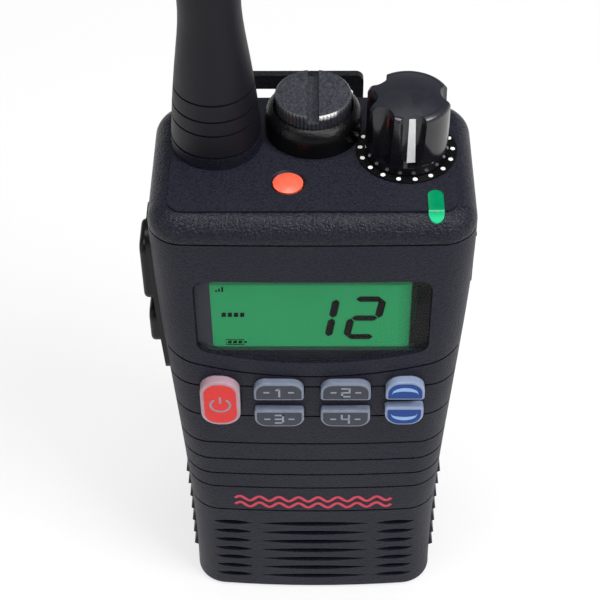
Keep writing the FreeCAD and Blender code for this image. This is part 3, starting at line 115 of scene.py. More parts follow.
# Studio paper: matt, very pale, seen as white where the camera or a gloss surface meets it
paper, tree, shader, place = new_finish("studio_paper_matt")
fibre = add(tree, "ShaderNodeTexNoise", {"Vector": place, "Scale": per_mm(6), "Detail": 3.0})
pulp = add(tree, "ShaderNodeMixRGB", {"Fac": fibre.outputs["Fac"], "Color1": linear("#ededed"),
                                      "Color2": linear("#f1f1f1")})
matt = add(tree, "ShaderNodeBsdfDiffuse", {"Color": pulp.outputs["Color"]})
ray = add(tree, "ShaderNodeLightPath")
seen = add(tree, "ShaderNodeMath", {0: ray.outputs["Is Camera Ray"], 1: ray.outputs["Is Glossy Ray"]},
           operation="ADD")
seen_through = add(tree, "ShaderNodeMath", {0: seen.outputs[0], 1: ray.outputs["Is Transmission Ray"]},
                   operation="ADD", use_clamp=True)
far_off = add(tree, "ShaderNodeVectorMath", {0: place}, operation="LENGTH")
# the lamps light the paper near the radio only, so its own white takes over further out
lit_reach = 0.15
unlit_reach = 0.8
glow_when_lit = 0.7
spread = add(tree, "ShaderNodeMapRange", {"Value": far_off.outputs["Value"], "From Min": lit_reach,
                                          "From Max": unlit_reach, "To Min": glow_when_lit, "To Max": 1.0})
glow_share = add(tree, "ShaderNodeMath", {0: seen_through.outputs[0], 1: spread.outputs[0]},
                 operation="MULTIPLY")
white = add(tree, "ShaderNodeEmission", {"Color": (1, 1, 1, 1), "Strength": 1.0})
seen_paper = add(tree, "ShaderNodeMixShader", {0: glow_share.outputs[0], 1: matt.outputs[0],
                                               2: white.outputs[0]})
tree.links.new(seen_paper.outputs[0], tree.nodes["Material Output"].inputs["Surface"])
tree.nodes.remove(shader)

floor_mesh = bpy.data.meshes.new("studio_floor")
floor_reach = 3.0
floor_drop = 0.0001
floor_mesh.from_pydata([(-floor_reach, -floor_reach, 0), (floor_reach, -floor_reach, 0),
                        (floor_reach, floor_reach, 0), (-floor_reach, floor_reach, 0)], [], [(0, 1, 2, 3)])
floor_mesh.materials.append(paper)
floor = bpy.data.objects.new("studio_floor", floor_mesh)
floor.location.z = -floor_drop
bpy.context.collection.objects.link(floor)

# The room is white to the camera, also through clear parts. What the parts reflect of it is grey,
# and darker the higher it is.
world = bpy.data.worlds.new("studio_room")
bpy.context.scene.world = world
world.use_nodes = True
tree = world.node_tree
backdrop = tree.nodes["Background"]
ray = add(tree, "ShaderNodeLightPath")
direction = add(tree, "ShaderNodeTexCoord").outputs["Generated"]
height = add(tree, "ShaderNodeSeparateXYZ", {"Vector": direction}).outputs["Z"]
dimming = add(tree, "ShaderNodeMapRange", {"Value": height, "From Min": 0.0, "From Max": 0.5, "To Min": 0.4,
                                           "To Max": 0.07})
open_view = add(tree, "ShaderNodeMath", {0: ray.outputs["Is Camera Ray"],
                                         1: ray.outputs["Is Transmission Ray"]},
                operation="ADD", use_clamp=True)
room_light = add(tree, "ShaderNodeMixRGB", {"Fac": open_view.outputs[0], "Color1": dimming.outputs[0],
                                            "Color2": (1, 1, 1, 1)})
feed(tree, backdrop, {"Color": room_light.outputs["Color"], "Strength": 1.0})

aim = Vector((0, 0, 0.09))
lamp_distance = 0.8
for name, side, power, size in (("lamp_right", (0.55, -0.35, 0.75), 5.2, 0.35),
                                ("lamp_left", (-0.75, -0.5, 0.42), 1.3, 0.5),
                                ("lamp_overhead", (0.0, -0.02, 0.98), 5.5, 0.45)):
    lamp_data = bpy.data.lights.new(name, "AREA")
    lamp_data.energy = power
    lamp_data.size = size
    lamp = bpy.data.objects.new(name, lamp_data)
    lamp.location = aim + Vector(side).normalized() * lamp_distance
    lamp.rotation_euler = (aim - lamp.location).to_track_quat("-Z", "Y").to_euler()
    bpy.context.collection.objects.link(lamp)


# The front and rear case are injection mouldings in glass-filled polycarbonate, screwed together
# on a sealing joint. The mould is spark-eroded, so every face carries a fine dull grain.
def dress(finish, *names):
    for name in names:
        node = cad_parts[name]
        if not node.material_slots:
            node.data.materials.append(finish)
        for slot in node.material_slots:
            slot.material = finish


def moulded_plastic(name, shade, grain, depth, roughness, gloss=0.2):
    # grain is the width of the mould's pits and depth how far they stand, both in mm; a broad cloud
    # about 22 mm across is where hands rub the surface smoother
    finish, tree, shader, place = new_finish(name)
    pits = add(tree, "ShaderNodeTexNoise", {"Vector": place, "Scale": per_mm(grain), "Detail": 2.0,
                                            "Roughness": 0.6})
    etched = add(tree, "ShaderNodeMapRange", {"Value": pits.outputs["Fac"], "From Min": 0.36,
                                              "From Max": 0.64})
    handling = add(tree, "ShaderNodeTexNoise", {"Vector": place, "Scale": per_mm(22), "Detail": 4.0})
    dark, pale = Vector(linear(shade)) * 0.55, Vector(linear(shade)) * 1.5
    tone = add(tree, "ShaderNodeMixRGB", {"Fac": etched.outputs[0], "Color1": dark, "Color2": pale})
    spread = 0.05
    dull = add(tree, "ShaderNodeMapRange", {"Value": handling.outputs["Fac"], "From Min": 0.3,
                                            "From Max": 0.7, "To Min": roughness - spread,
                                            "To Max": roughness + spread})
    relief = add(tree, "ShaderNodeBump", {"Height": etched.outputs[0], "Strength": 1.0,
                                          "Distance": depth / 1000})
    feed(tree, shader, {"Base Color": tone.outputs["Color"], "Roughness": dull.outputs[0],
                        "Normal": relief.outputs["Normal"], "Specular IOR Level": gloss, "IOR": 1.5})
    return finish, tree, shader, place


# Polycarbonate, moulded and spark-eroded: slate charcoal that breaks highlights into a soft sheen.
# The real grain is about 0.1 mm, drawn at 0.45 mm so that it shows.
case_finish = moulded_plastic("polycarbonate_moulded_case", "#161725", grain=0.45, depth=0.05,
                              roughness=0.48)[0]
dress(case_finish, "front_case", "rear_case")


# Stainless screws, turned and tumbled, draw the case halves and the clip bracket together
# from behind. Tool marks about 0.4 mm across leave each head satin, brighter here and there.
def worked_metal(name, shade, mark, detail, smooth, rough):
    # mark is the width in mm of the marks that the tool or die leaves, which vary the gloss
    finish, tree, shader, place = new_finish(name)
    marks = add(tree, "ShaderNodeTexNoise", {"Vector": place, "Scale": per_mm(mark), "Detail": detail})
    satin = add(tree, "ShaderNodeMapRange", {"Value": marks.outputs["Fac"], "To Min": smooth,
                                             "To Max": rough})
    feed(tree, shader, {"Roughness": satin.outputs[0], "Base Color": linear(shade), "Metallic": 1.0})
    return finish, tree, shader, marks


screw_finish = worked_metal("stainless_steel_turned", "#b4b5b8", mark=0.4, detail=2.0, smooth=0.22,
                            rough=0.42)[0]
dress(screw_finish, "case_screws", "clip_screws")

# The top cover is moulded in the same plastic as the case. Its flat top is matt, its rolled shoulder
# has a coarser grain, and the socket rim and the knob's dial are polished in the mould.
flat_depth = 0.035
shoulder_depth = 0.11
# Polycarbonate again, nearly black: the flat top stays even while the shoulder sparkles
cover_finish, tree, shader, place = moulded_plastic("polycarbonate_moulded_cover", "#191a24", grain=0.4,
                                                    depth=flat_depth, roughness=0.46)
axes = add(tree, "ShaderNodeSeparateXYZ", {"Vector": place})
speckle = add(tree, "ShaderNodeTexNoise", {"Vector": place, "Scale": per_mm(0.5), "Detail": 2.0,
                                           "Roughness": 0.5})
coarse = add(tree, "ShaderNodeMapRange", {"Value": speckle.outputs["Fac"], "From Min": 0.36,
                                          "From Max": 0.64})
flat_top_z = 0.1173
shoulder_z = 0.1166
shoulder = add(tree, "ShaderNodeMapRange", {"Value": axes.outputs["Z"], "From Min": flat_top_z,
                                            "From Max": shoulder_z})
relief = shader.inputs["Normal"].links[0].from_node
fine_pits = relief.inputs["Height"].links[0].from_socket
pit_mix = add(tree, "ShaderNodeMixRGB", {"Fac": shoulder.outputs[0], "Color1": fine_pits,
                                         "Color2": coarse.outputs[0]})
relief_depth = add(tree, "ShaderNodeMapRange", {"Value": shoulder.outputs[0], "To Min": flat_depth / 1000,
                                                "To Max": shoulder_depth / 1000})
feed(tree, relief, {"Height": pit_mix.outputs["Color"], "Distance": relief_depth.outputs[0]})
# the polished places are the rim and the dial, which stand round two axes and above the flat top
cap_axis = (0.00016, 0.00854, 0)
knob_axis = (0.01797, 0.00197, 0)
rim_reach = 0.0096
dial_reach = 0.0098
polished_above_z = 0.11757
flat_place = add(tree, "ShaderNodeCombineXYZ", {"X": axes.outputs["X"], "Y": axes.outputs["Y"], "Z": 0.0})
raised = add(tree, "ShaderNodeMath", {0: axes.outputs["Z"], 1: polished_above_z}, operation="GREATER_THAN")
patches = []
for axis, reach in ((cap_axis, rim_reach), (knob_axis, dial_reach)):
    away = add(tree, "ShaderNodeVectorMath", {0: flat_place.outputs[0], 1: axis}, operation="DISTANCE")
    inside = add(tree, "ShaderNodeMath", {0: away.outputs["Value"], 1: reach}, operation="LESS_THAN")
    patches.append(add(tree, "ShaderNodeMath", {0: inside.outputs[0], 1: raised.outputs[0]},
                       operation="MULTIPLY"))
polished = add(tree, "ShaderNodeMath", {0: patches[0].outputs[0], 1: patches[1].outputs[0]},
               operation="MAXIMUM")
moulded_dull = shader.inputs["Roughness"].links[0].from_socket
shoulder_gloss = 0.12
rolled = add(tree, "ShaderNodeMath", {0: shoulder.outputs[0], 1: shoulder_gloss}, operation="MULTIPLY")
shoulder_dull = add(tree, "ShaderNodeMath", {0: moulded_dull, 1: rolled.outputs[0]}, operation="SUBTRACT")
polished_dull = 0.24
polish = add(tree, "ShaderNodeMixRGB", {"Fac": polished.outputs[0], "Color1": shoulder_dull.outputs[0],
                                        "Color2": (polished_dull, polished_dull, polished_dull, 1)})
moulded_tone = shader.inputs["Base Color"].links[0].from_socket
patched_tone = add(tree, "ShaderNodeMixRGB", {"Fac": polished.outputs[0], "Color1": moulded_tone,
                                     "Color2": linear("#0b0b0d")})
feed(tree, shader, {"Roughness": polish.outputs["Color"], "Base Color": patched_tone.outputs["Color"]})
dress(cover_finish, "top_cover")


# Seals are moulded in silicone rubber and sit squeezed in their grooves: the black line under the
# cover, and the rings under the antenna, the cap and the knob's shaft.
def moulded_rubber(name, shade, grain, roughness):
    # rubber is matt, with a faint bloom that pales it in clouds about 5 mm across; grain is in mm
    finish, tree, shader, place = new_finish(name)
    bloom = add(tree, "ShaderNodeTexNoise", {"Vector": place, "Scale": per_mm(5), "Detail": 4.0})
    pits = add(tree, "ShaderNodeTexNoise", {"Vector": place, "Scale": per_mm(grain), "Detail": 2.0})
    dark, pale = Vector(linear(shade)) * 0.85, Vector(linear(shade)) * 1.25
    spread = 0.06
    depth = 0.02
    tone = add(tree, "ShaderNodeMixRGB", {"Fac": bloom.outputs["Fac"], "Color1": dark, "Color2": pale})
    dull = add(tree, "ShaderNodeMapRange", {"Value": bloom.outputs["Fac"], "To Min": roughness - spread,
                                            "To Max": roughness + spread})
    relief = add(tree, "ShaderNodeBump", {"Height": pits.outputs["Fac"], "Distance": depth / 1000})
    feed(tree, shader, {"Base Color": tone.outputs["Color"], "Roughness": dull.outputs[0],
                        "Normal": relief.outputs["Normal"], "Specular IOR Level": 0.25})
    return finish, tree, shader, place


seal_finish = moulded_rubber("silicone_rubber_moulded_seal", "#0b0b0c", grain=0.4, roughness=0.6)[0]
dress(seal_finish, "top_gasket", "cap_seal", "antenna_seal", "knob_seal")

# The sixteen index dots round the dial are pits filled with white enamel and wiped level, so their
# white is a little uneven and not quite matt.
dot_finish, tree, shader, place = new_finish("white_enamel_filled_dots")
wipe = add(tree, "ShaderNodeTexNoise", {"Vector": place, "Scale": per_mm(0.5), "Detail": 3.0})
chalk = add(tree, "ShaderNodeMixRGB", {"Fac": wipe.outputs["Fac"], "Color1": linear("#dcdcda"),
                                       "Color2": linear("#fbfbf8")})
feed(tree, shader, {"Base Color": chalk.outputs["Color"], "Roughness": 0.4})
dress(dot_finish, "index_dots")

# The status light is a moulded acrylic light pipe, snapped into the cover's edge and lit from below.
# Its green is deepest in the middle, and paler where the pipe bends over the edge.
light_finish, tree, shader, place = new_finish("acrylic_moulded_light_pipe")
axes = add(tree, "ShaderNodeSeparateXYZ", {"Vector": place})
bend_starts_y = -0.0148
bend_ends_y = -0.0164
bend = add(tree, "ShaderNodeMapRange", {"Value": axes.outputs["Y"], "From Min": bend_starts_y,
                                        "From Max": bend_ends_y})
bubbles = add(tree, "ShaderNodeTexNoise", {"Vector": place, "Scale": per_mm(1.2), "Detail": 3.0})
depth = add(tree, "ShaderNodeMixRGB", {"Fac": bubbles.outputs["Fac"], "Color1": linear("#006a40"),
                                       "Color2": linear("#00885a")})
pale_bend = add(tree, "ShaderNodeMixRGB", {"Fac": bend.outputs[0], "Color1": depth.outputs["Color"],
                                           "Color2": linear("#1ab27a")})
feed(tree, shader, {"Base Color": pale_bend.outputs["Color"], "Emission Color": pale_bend.outputs["Color"],
                    "Emission Strength": 0.08, "Roughness": 0.22, "IOR": 1.49, "Specular IOR Level": 0.3})
dress(light_finish, "status_light")

# The window is a polished polycarbonate lens bonded into the case over a printed border. Its hard
# coat is smooth apart from a few hairline rubs, and it darkens the display a little.
lens_finish, tree, shader, place = new_finish("polycarbonate_hard_coated_window")
rubs = add(tree, "ShaderNodeTexNoise", {"Vector": place, "Scale": per_mm(3), "Detail": 5.0})
coat = add(tree, "ShaderNodeMapRange", {"Value": rubs.outputs["Fac"], "From Min": 0.35, "From Max": 0.75,
                                        "To Min": 0.03, "To Max": 0.12})
feed(tree, shader, {"Roughness": coat.outputs[0], "Base Color": linear("#121316"), "Alpha": 0.12,
                    "IOR": 1.58})
lens_finish.surface_render_method = "BLENDED"
dress(lens_finish, "display_lens")

# The border is screen printed on a thin film behind the lens in dark grey ink. Down its right-hand side a
# near-black strip is painted shade, where the window's right-hand wall is turned from the lamps.
mask_finish, tree, shader, place = new_finish("polyester_film_printed_painted_shade")
axes = add(tree, "ShaderNodeSeparateXYZ", {"Vector": place})
# past this x the border is painted near-black as shade, not printed
shade_strip_from_x = 0.0192
painted_shade_strip = add(tree, "ShaderNodeMath", {0: axes.outputs["X"], 1: shade_strip_from_x}, operation="GREATER_THAN")
screen = add(tree, "ShaderNodeTexNoise", {"Vector": place, "Scale": per_mm(0.3), "Detail": 2.0})
print_ink = add(tree, "ShaderNodeMixRGB", {"Fac": screen.outputs["Fac"], "Color1": linear("#33343f"),
                                           "Color2": linear("#3e3f4a")})
patched_tone = add(tree, "ShaderNodeMixRGB", {"Fac": painted_shade_strip.outputs[0], "Color1": print_ink.outputs["Color"],
                                     "Color2": linear("#100f12")})
feed(tree, shader, {"Base Color": patched_tone.outputs["Color"], "Roughness": 0.5, "Specular IOR Level": 0.15})
dress(mask_finish, "display_mask")

# The display is a liquid crystal cell over a green backlight. Painted shadow darkens the green along the
# top and at the right-hand end, and the cell's unlit pattern leaves a very faint texture.
cell_finish, tree, shader, place = new_finish("liquid_crystal_glass_backlit")
axes = add(tree, "ShaderNodeSeparateXYZ", {"Vector": place})
# painted shadow darkens the backlit green along the top edge and at the right-hand end
top_shadow_band = (0.0999, 0.1004)
right_shadow_band = (0.0165, 0.0192)
top_painted_shadow = add(tree, "ShaderNodeMapRange", {"Value": axes.outputs["Z"], "From Min": top_shadow_band[0],
                                            "From Max": top_shadow_band[1], "To Min": 0.0, "To Max": 0.55})
right_painted_shadow = add(tree, "ShaderNodeMapRange", {"Value": axes.outputs["X"], "From Min": right_shadow_band[0],
                                              "From Max": right_shadow_band[1], "To Min": 0.0, "To Max": 0.35})
painted_shadow = add(tree, "ShaderNodeMath", {0: top_painted_shadow.outputs[0], 1: right_painted_shadow.outputs[0]}, operation="MAXIMUM")
cloud = add(tree, "ShaderNodeTexNoise", {"Vector": place, "Scale": per_mm(14), "Detail": 2.0})
green = add(tree, "ShaderNodeMixRGB", {"Fac": cloud.outputs["Fac"], "Color1": linear("#1f8c55"),
                                       "Color2": linear("#27955d")})
shadowed_green = add(tree, "ShaderNodeMixRGB", {"Fac": painted_shadow.outputs[0], "Color1": green.outputs["Color"],
                                      "Color2": linear("#0a2c1b")})
feed(tree, shader, {"Base Color": shadowed_green.outputs["Color"], "Emission Color": shadowed_green.outputs["Color"],
                    "Emission Strength": 0.42, "Roughness": 0.35, "Specular IOR Level": 0.1})
dress(cell_finish, "display_module")


# The cell's dark segments are two large slanted digits, and small marks at the left for signal, mode
# and battery. They are thin films of turned liquid crystal, so flat black and sharp-edged.
def surface_of(name):
    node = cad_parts[name]
    points = [node.matrix_world @ v.co for v in node.data.vertices]
    return BVHTree.FromPolygons(points, [tuple(p.vertices) for p in node.data.polygons])


def print_on(name, shapes, carrier, finish, body, lift=0.03, thick=0.02):
    # shapes are lists of (x, z) outlines in mm; each is pressed back in Y on the carrier's skin
    skin = surface_of(carrier)
    front_of_all = -0.04
    mesh = bmesh.new()
    for shape in shapes:
        ring = []
        for x, z in shape:
            start = Vector((x / 1000, front_of_all, z / 1000))
            met = skin.ray_cast(start, Vector((0, 1, 0)))[0]
            back = met.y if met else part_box(carrier)[0].y
            ring.append(mesh.verts.new((start.x, back - lift / 1000, start.z)))
        face = mesh.faces.new(ring)
        face.normal_update()
        if face.normal.y > 0:
            face.normal_flip()
    bmesh.ops.triangulate(mesh, faces=mesh.faces[:])
    result = bpy.data.meshes.new(name)
    mesh.to_mesh(result)
    mesh.free()
    result.materials.append(finish)
    piece = bpy.data.objects.new(name, result)
    bpy.context.collection.objects.link(piece)
    film = piece.modifiers.new("film", "SOLIDIFY")
    film.thickness = thick / 1000
    film.offset = -1
    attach(piece, body)
    return piece


def segment(start, end, width):
    # one bar of a digit, with its ends cut to a point
    a, b = Vector(start), Vector(end)
    along = (b - a).normalized()
    across = Vector((-along.y, along.x)) * width / 2
    point = along * width / 2
    return [a, a + point + across, b - point + across, b, b - point - across, a + point - across]


def ribbon(points, width, closed=False):
    # a line of constant width as a row of four-sided shapes that meet on shared corners
    path = [Vector(p) for p in points]
    count = len(path)
    sides = []
    for i, here in enumerate(path):
        before = path[i - 1] if i or closed else here
        after = path[(i + 1) % count] if i + 1 < count or closed else here
        along = (after - before).normalized()
        across = Vector((-along.y, along.x)) * width / 2
        sides.append((here + across, here - across))
    shapes = []
    for i in range(count if closed else count - 1):
        left, right = sides[i]
        next_left, next_right = sides[(i + 1) % count]
        shapes.append([left, next_left, next_right, right])
    return shapes


segment_finish, tree, shader, place = new_finish("liquid_crystal_dark_segment")
turned = add(tree, "ShaderNodeTexNoise", {"Vector": place, "Scale": per_mm(1), "Detail": 2.0})
black = add(tree, "ShaderNodeMixRGB", {"Fac": turned.outputs["Fac"], "Color1": linear("#010201"),
                                       "Color2": linear("#040805")})
feed(tree, shader, {"Base Color": black.outputs["Color"], "Roughness": 0.6, "Specular IOR Level": 0.05})

bar_width = 1.5
slant = 0.15
digit_low = 85.6
digit_high = 96.3
digit_middle = (digit_low + digit_high) / 2
digit_span = 5.3
first_digit_x = 3.05 - digit_span
second_digit_x = 6.7
bar_gap = 0.08


def leaning(x, z):
    return (x + slant * (z - digit_low), z)


def digit(left, bars):
    right = left + digit_span
    ends = {"top": ((left, digit_high), (right, digit_high)),
            "middle": ((left, digit_middle), (right, digit_middle)),
            "bottom": ((left, digit_low), (right, digit_low)),
            "upper_right": ((right, digit_middle), (right, digit_high)),
            "lower_right": ((right, digit_low), (right, digit_middle)),
            "upper_left": ((left, digit_middle), (left, digit_high)),
            "lower_left": ((left, digit_low), (left, digit_middle))}
    shapes = []
    for name in bars:
        start, end = (Vector(leaning(*p)) for p in ends[name])
        trim = (end - start).normalized() * bar_gap
        shapes.append(segment(start + trim, end - trim, bar_width))
    return shapes


digits = digit(first_digit_x, ["upper_right", "lower_right"])
digits += digit(second_digit_x, ["top", "upper_right", "middle", "lower_left", "bottom"])
print_on("display_digits", digits, "display_module", segment_finish, "radio")


def leaning_box(left, low, width, height, lean=0.0):
    right, high = left + width, low + height
    return [(left, low), (right, low), (right + lean, high), (left + lean, high)]


# three rising bars, a row of four dashes, and a cell with its tip and three charges
marks = []
for i in range(3):
    marks.append(leaning_box(-18.7 + 0.6 * i, 98.3, 0.35, 0.5 + 0.45 * i))
for i in range(4):
    marks.append(leaning_box(-17.8 + 1.2 * i, 91.3, 0.85, 1.2, lean=0.1))
marks += ribbon(leaning_box(-17.2, 83.3, 3.6, 1.4), 0.22, closed=True)
marks.append(leaning_box(-13.45, 83.7, 0.35, 0.6))
for i in range(3):
    marks.append(leaning_box(-16.9 + 1.05 * i, 83.6, 0.75, 0.8, lean=0.15))
print_on("display_marks", marks, "display_module", segment_finish, "radio")


# The four function keys are moulded in milky silicone. Their faces are sprayed dark and the plain
# numbers laser-cut through the paint, so a thin milky rim shows round each face.
def moulded_silicone(name, shade, edge_shade):
    # silicone lets light a little way in, so it looks milky, in clouds about 2 mm across
    finish, tree, shader, place = new_finish(name)
    milk = add(tree, "ShaderNodeTexNoise", {"Vector": place, "Scale": per_mm(2), "Detail": 3.0})
    tone = add(tree, "ShaderNodeMixRGB", {"Fac": milk.outputs["Fac"], "Color1": linear(shade),
                                          "Color2": linear(edge_shade)})
    dull = add(tree, "ShaderNodeMapRange", {"Value": milk.outputs["Fac"], "To Min": 0.32, "To Max": 0.48})
    feed(tree, shader, {"Base Color": tone.outputs["Color"], "Roughness": dull.outputs[0],
                        "Subsurface Weight": 0.25, "Subsurface Radius": (0.001, 0.001, 0.0012),
                        "Subsurface Scale": 0.6, "IOR": 1.42})
    return finish


def sprayed_face(name, shade, roughness):
    # a thin even coat with a slight orange peel about 0.6 mm across
    finish, tree, shader, place = new_finish(name)
    peel = add(tree, "ShaderNodeTexNoise", {"Vector": place, "Scale": per_mm(0.6), "Detail": 2.0})
    dark, pale = Vector(linear(shade)) * 0.88, Vector(linear(shade)) * 1.12
    tone = add(tree, "ShaderNodeMixRGB", {"Fac": peel.outputs["Fac"], "Color1": dark, "Color2": pale})
    relief = add(tree, "ShaderNodeBump", {"Height": peel.outputs["Fac"], "Distance": 0.000015})
    feed(tree, shader, {"Base Color": tone.outputs["Color"], "Normal": relief.outputs["Normal"],
                        "Roughness": roughness, "Specular IOR Level": 0.3})
    return finish


def rounded(left, right, low, high, low_radius, high_radius):
    outline = []
    steps = 8
    corners = ((right, high, high_radius, 0), (left, high, high_radius, 90),
               (left, low, low_radius, 180), (right, low, low_radius, 270))
    for x, z, radius, start in corners:
        centre_x = x - radius if x == right else x + radius
        centre_z = z - radius if z == high else z + radius
        for step in range(steps + 1):
            angle = math.radians(start + 90 * step / steps)
            outline.append((centre_x + radius * math.cos(angle), centre_z + radius * math.sin(angle)))
    return outline


def key_face(key, rim, low_radius, high_radius):
    # the key's flange behind the wall is wider than its front by this much all round
    flange = 0.7
    least_radius = 0.3
    inset = flange + rim
    low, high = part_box(key)
    return rounded(low.x * 1000 + inset, high.x * 1000 - inset, low.z * 1000 + inset,
                   high.z * 1000 - inset, max(low_radius - rim, least_radius),
                   max(high_radius - rim, least_radius))


def key_middle(key):
    low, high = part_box(key)
    return (low.x + high.x) * 500, (low.z + high.z) * 500


milky_finish = moulded_silicone("silicone_moulded_milky", "#6c7484", "#818a9c")
dress(milky_finish, "function_key_1", "function_key_2", "function_key_3", "function_key_4")
# Sprayed charcoal faces, and labels cut through to the milky grey below
face_finish = sprayed_face("silicone_sprayed_charcoal", "#363843", roughness=0.45)
label_finish = sprayed_face("silicone_laser_cut_label", "#8d94a2", roughness=0.5)
label_lift = 0.05
key_rim = 0.5
round_corner = 2.6
tight_corner = 0.7
number_width = 1.5
number_height = 2.4
number_stroke = 0.42
dash_starts = 1.9
dash_ends = 3.1


def numeral(value, centre_x, centre_z):
    # a plain upright numeral drawn with strokes of one width
    left, right = centre_x - number_width / 2, centre_x + number_width / 2
    low, high = centre_z - number_height / 2, centre_z + number_height / 2
    stem = centre_x + 0.1
    flag = (left + number_width * 0.2, high - number_height * 0.18)
    strokes = {1: [[flag, (stem, high), (stem, low)]],
               2: [[(left, high), (right, high), (right, centre_z), (left, centre_z), (left, low),
                    (right, low)]],
               3: [[(left, high), (right, high), (right, low), (left, low)],
                   [(left, centre_z), (right, centre_z)]],
               4: [[(left, high), (left, centre_z), (right, centre_z)], [(right, high), (right, low)]]}
    shapes = []
    for points in strokes[value]:
        for start, end in zip(points, points[1:]):
            a, b = Vector(start), Vector(end)
            along = (b - a).normalized() * number_stroke / 2
            shapes += ribbon([a - along, b + along], number_stroke)
    return shapes


for value in (1, 2, 3, 4):
    key = f"function_key_{value}"
    # the upper two keys are round at the top and the lower two at the bottom
    corners = (tight_corner, round_corner) if value < 3 else (round_corner, tight_corner)
    print_on(f"{key}_face", [key_face(key, key_rim, *corners)], key, face_finish, key)
    middle_x, middle_z = key_middle(key)
    label = numeral(value, middle_x, middle_z)
    for start, end in ((-dash_ends, -dash_starts), (dash_starts, dash_ends)):
        label += ribbon([(middle_x + start, middle_z), (middle_x + end, middle_z)], number_stroke)
    print_on(f"{key}_label", label, key, label_finish, key, lift=label_lift)

# The up and down keys are the same silicone with blue sprayed faces, each with a pale crescent cut
# through the paint to point the way.
blue_milk = moulded_silicone("silicone_moulded_milky_blue", "#7d8ba6", "#97a5c0")
dress(blue_milk, "up_key", "down_key")
blue_finish = sprayed_face("silicone_sprayed_blue", "#003a86", roughness=0.45)
crescent_finish = sprayed_face("silicone_laser_cut_crescent", "#8fb2dc", roughness=0.5)
arrow_corner = 3.2
crescent_half = 2.75
crescent_steps = 16
crescent_drop = 0.9
inner_bulge = 0.95
outer_bulge = 1.95
tip_thickness = 0.05


def crescent_edges(t, middle_x, middle_z, way):
    # the inner and outer point of the crescent at t from -1 to 1 across it; way is 1 up and -1 down
    bulge = math.sqrt(max(1 - t * t, 0))
    x = middle_x + crescent_half * t
    return ((x, middle_z + way * inner_bulge * bulge),
            (x, middle_z + way * (tip_thickness + outer_bulge * bulge)))


for key, way in (("up_key", 1), ("down_key", -1)):
    corners = (tight_corner, arrow_corner) if way > 0 else (arrow_corner, tight_corner)
    print_on(f"{key}_face", [key_face(key, key_rim, *corners)], key, blue_finish, key)
    middle_x, middle_z = key_middle(key)
    middle_z -= crescent_drop * way
    shapes = []
    for i in range(crescent_steps):
        inner, outer = crescent_edges(-1 + 2 * i / crescent_steps, middle_x, middle_z, way)
        next_inner, next_outer = crescent_edges(-1 + 2 * (i + 1) / crescent_steps, middle_x, middle_z, way)
        shapes.append([inner, next_inner, next_outer, outer])
    print_on(f"{key}_crescent", shapes, key, crescent_finish, key, lift=label_lift)

# The power key is one tall silicone button, sprayed red inside a pinkish rim, with the usual
# broken-ring power sign cut through to the grey.
red_milk = moulded_silicone("silicone_moulded_milky_red", "#a38590", "#b79ba5")
dress(red_milk, "power_key")
red_finish = sprayed_face("silicone_sprayed_red", "#d92d2b", roughness=0.42)
sign_finish = sprayed_face("silicone_laser_cut_sign", "#8b8f98", roughness=0.5)
power_rim = 0.75
power_corner = 3.6
power_face = key_face("power_key", power_rim, power_corner, power_corner)
print_on("power_key_face", [power_face], "power_key", red_finish, "power_key")
ring_x = -18.9
ring_z = 68.3
ring_radius = 2.0
ring_half_gap = 38
ring_steps = 24
sign_stroke = 0.45
tick = [(ring_x, 68.9), (ring_x, 70.8)]
ring = []
for step in range(ring_steps + 1):
    angle = math.radians(90 + ring_half_gap + (360 - 2 * ring_half_gap) * step / ring_steps)
    ring.append((ring_x + ring_radius * math.cos(angle), ring_z + ring_radius * math.sin(angle)))
sign = ribbon(ring, sign_stroke) + ribbon(tick, sign_stroke)
print_on("power_key_sign", sign, "power_key", sign_finish, "power_key", lift=label_lift)

# Behind the keys, one silicone membrane seals the front of the case. It is moulded in dark grey
# rubber and is pressed between the case and the switch board.
membrane_finish = moulded_rubber("silicone_rubber_moulded_membrane", "#3a3b40", grain=0.5,
                                 roughness=0.55)[0]
dress(membrane_finish, "keypad_membrane")

# A pair of red waves is pad printed low on the front case. The ink is thin, so the case's grain
# shows through it.
wave_finish, tree, shader, place = new_finish("pad_printed_ink_red")
grain = add(tree, "ShaderNodeTexNoise", {"Vector": place, "Scale": per_mm(0.35), "Detail": 2.0})
tint = add(tree, "ShaderNodeMixRGB", {"Fac": grain.outputs["Fac"], "Color1": linear("#b3203a"),
                                      "Color2": linear("#d93450")})
ink_depth = 0.03
relief = add(tree, "ShaderNodeBump", {"Height": grain.outputs["Fac"], "Distance": ink_depth / 1000})
feed(tree, shader, {"Base Color": tint.outputs["Color"], "Normal": relief.outputs["Normal"],
                    "Roughness": 0.5})
wave_half = 17.2
wave_count = 8
steps_per_wave = 14
wave_rise = 0.75
wave_stroke = 0.75
wave_levels = (34.35, 32.15)
for number, level in enumerate(wave_levels):
    line = []
    steps = wave_count * steps_per_wave
    for step in range(steps + 1):
        x = -wave_half + 2 * wave_half * step / steps
        line.append((x, level + wave_rise * math.sin(2 * math.pi * wave_count * step / steps)))
    print_on(f"wave_line_{number + 1}", ribbon(line, wave_stroke), "front_case", wave_finish, "radio")


# The speaker cloth is a fine black polyester weave, cut to a rectangle and stretched across the back
# of the grille, where it keeps dust and spray out of the speaker.
cloth_weave, tree, shader, place = new_finish("polyester_woven_plain")
# threads are 0.25 mm apart on the real cloth, and the mesh draws them at 0.9 mm so that they show
thread = 0.9
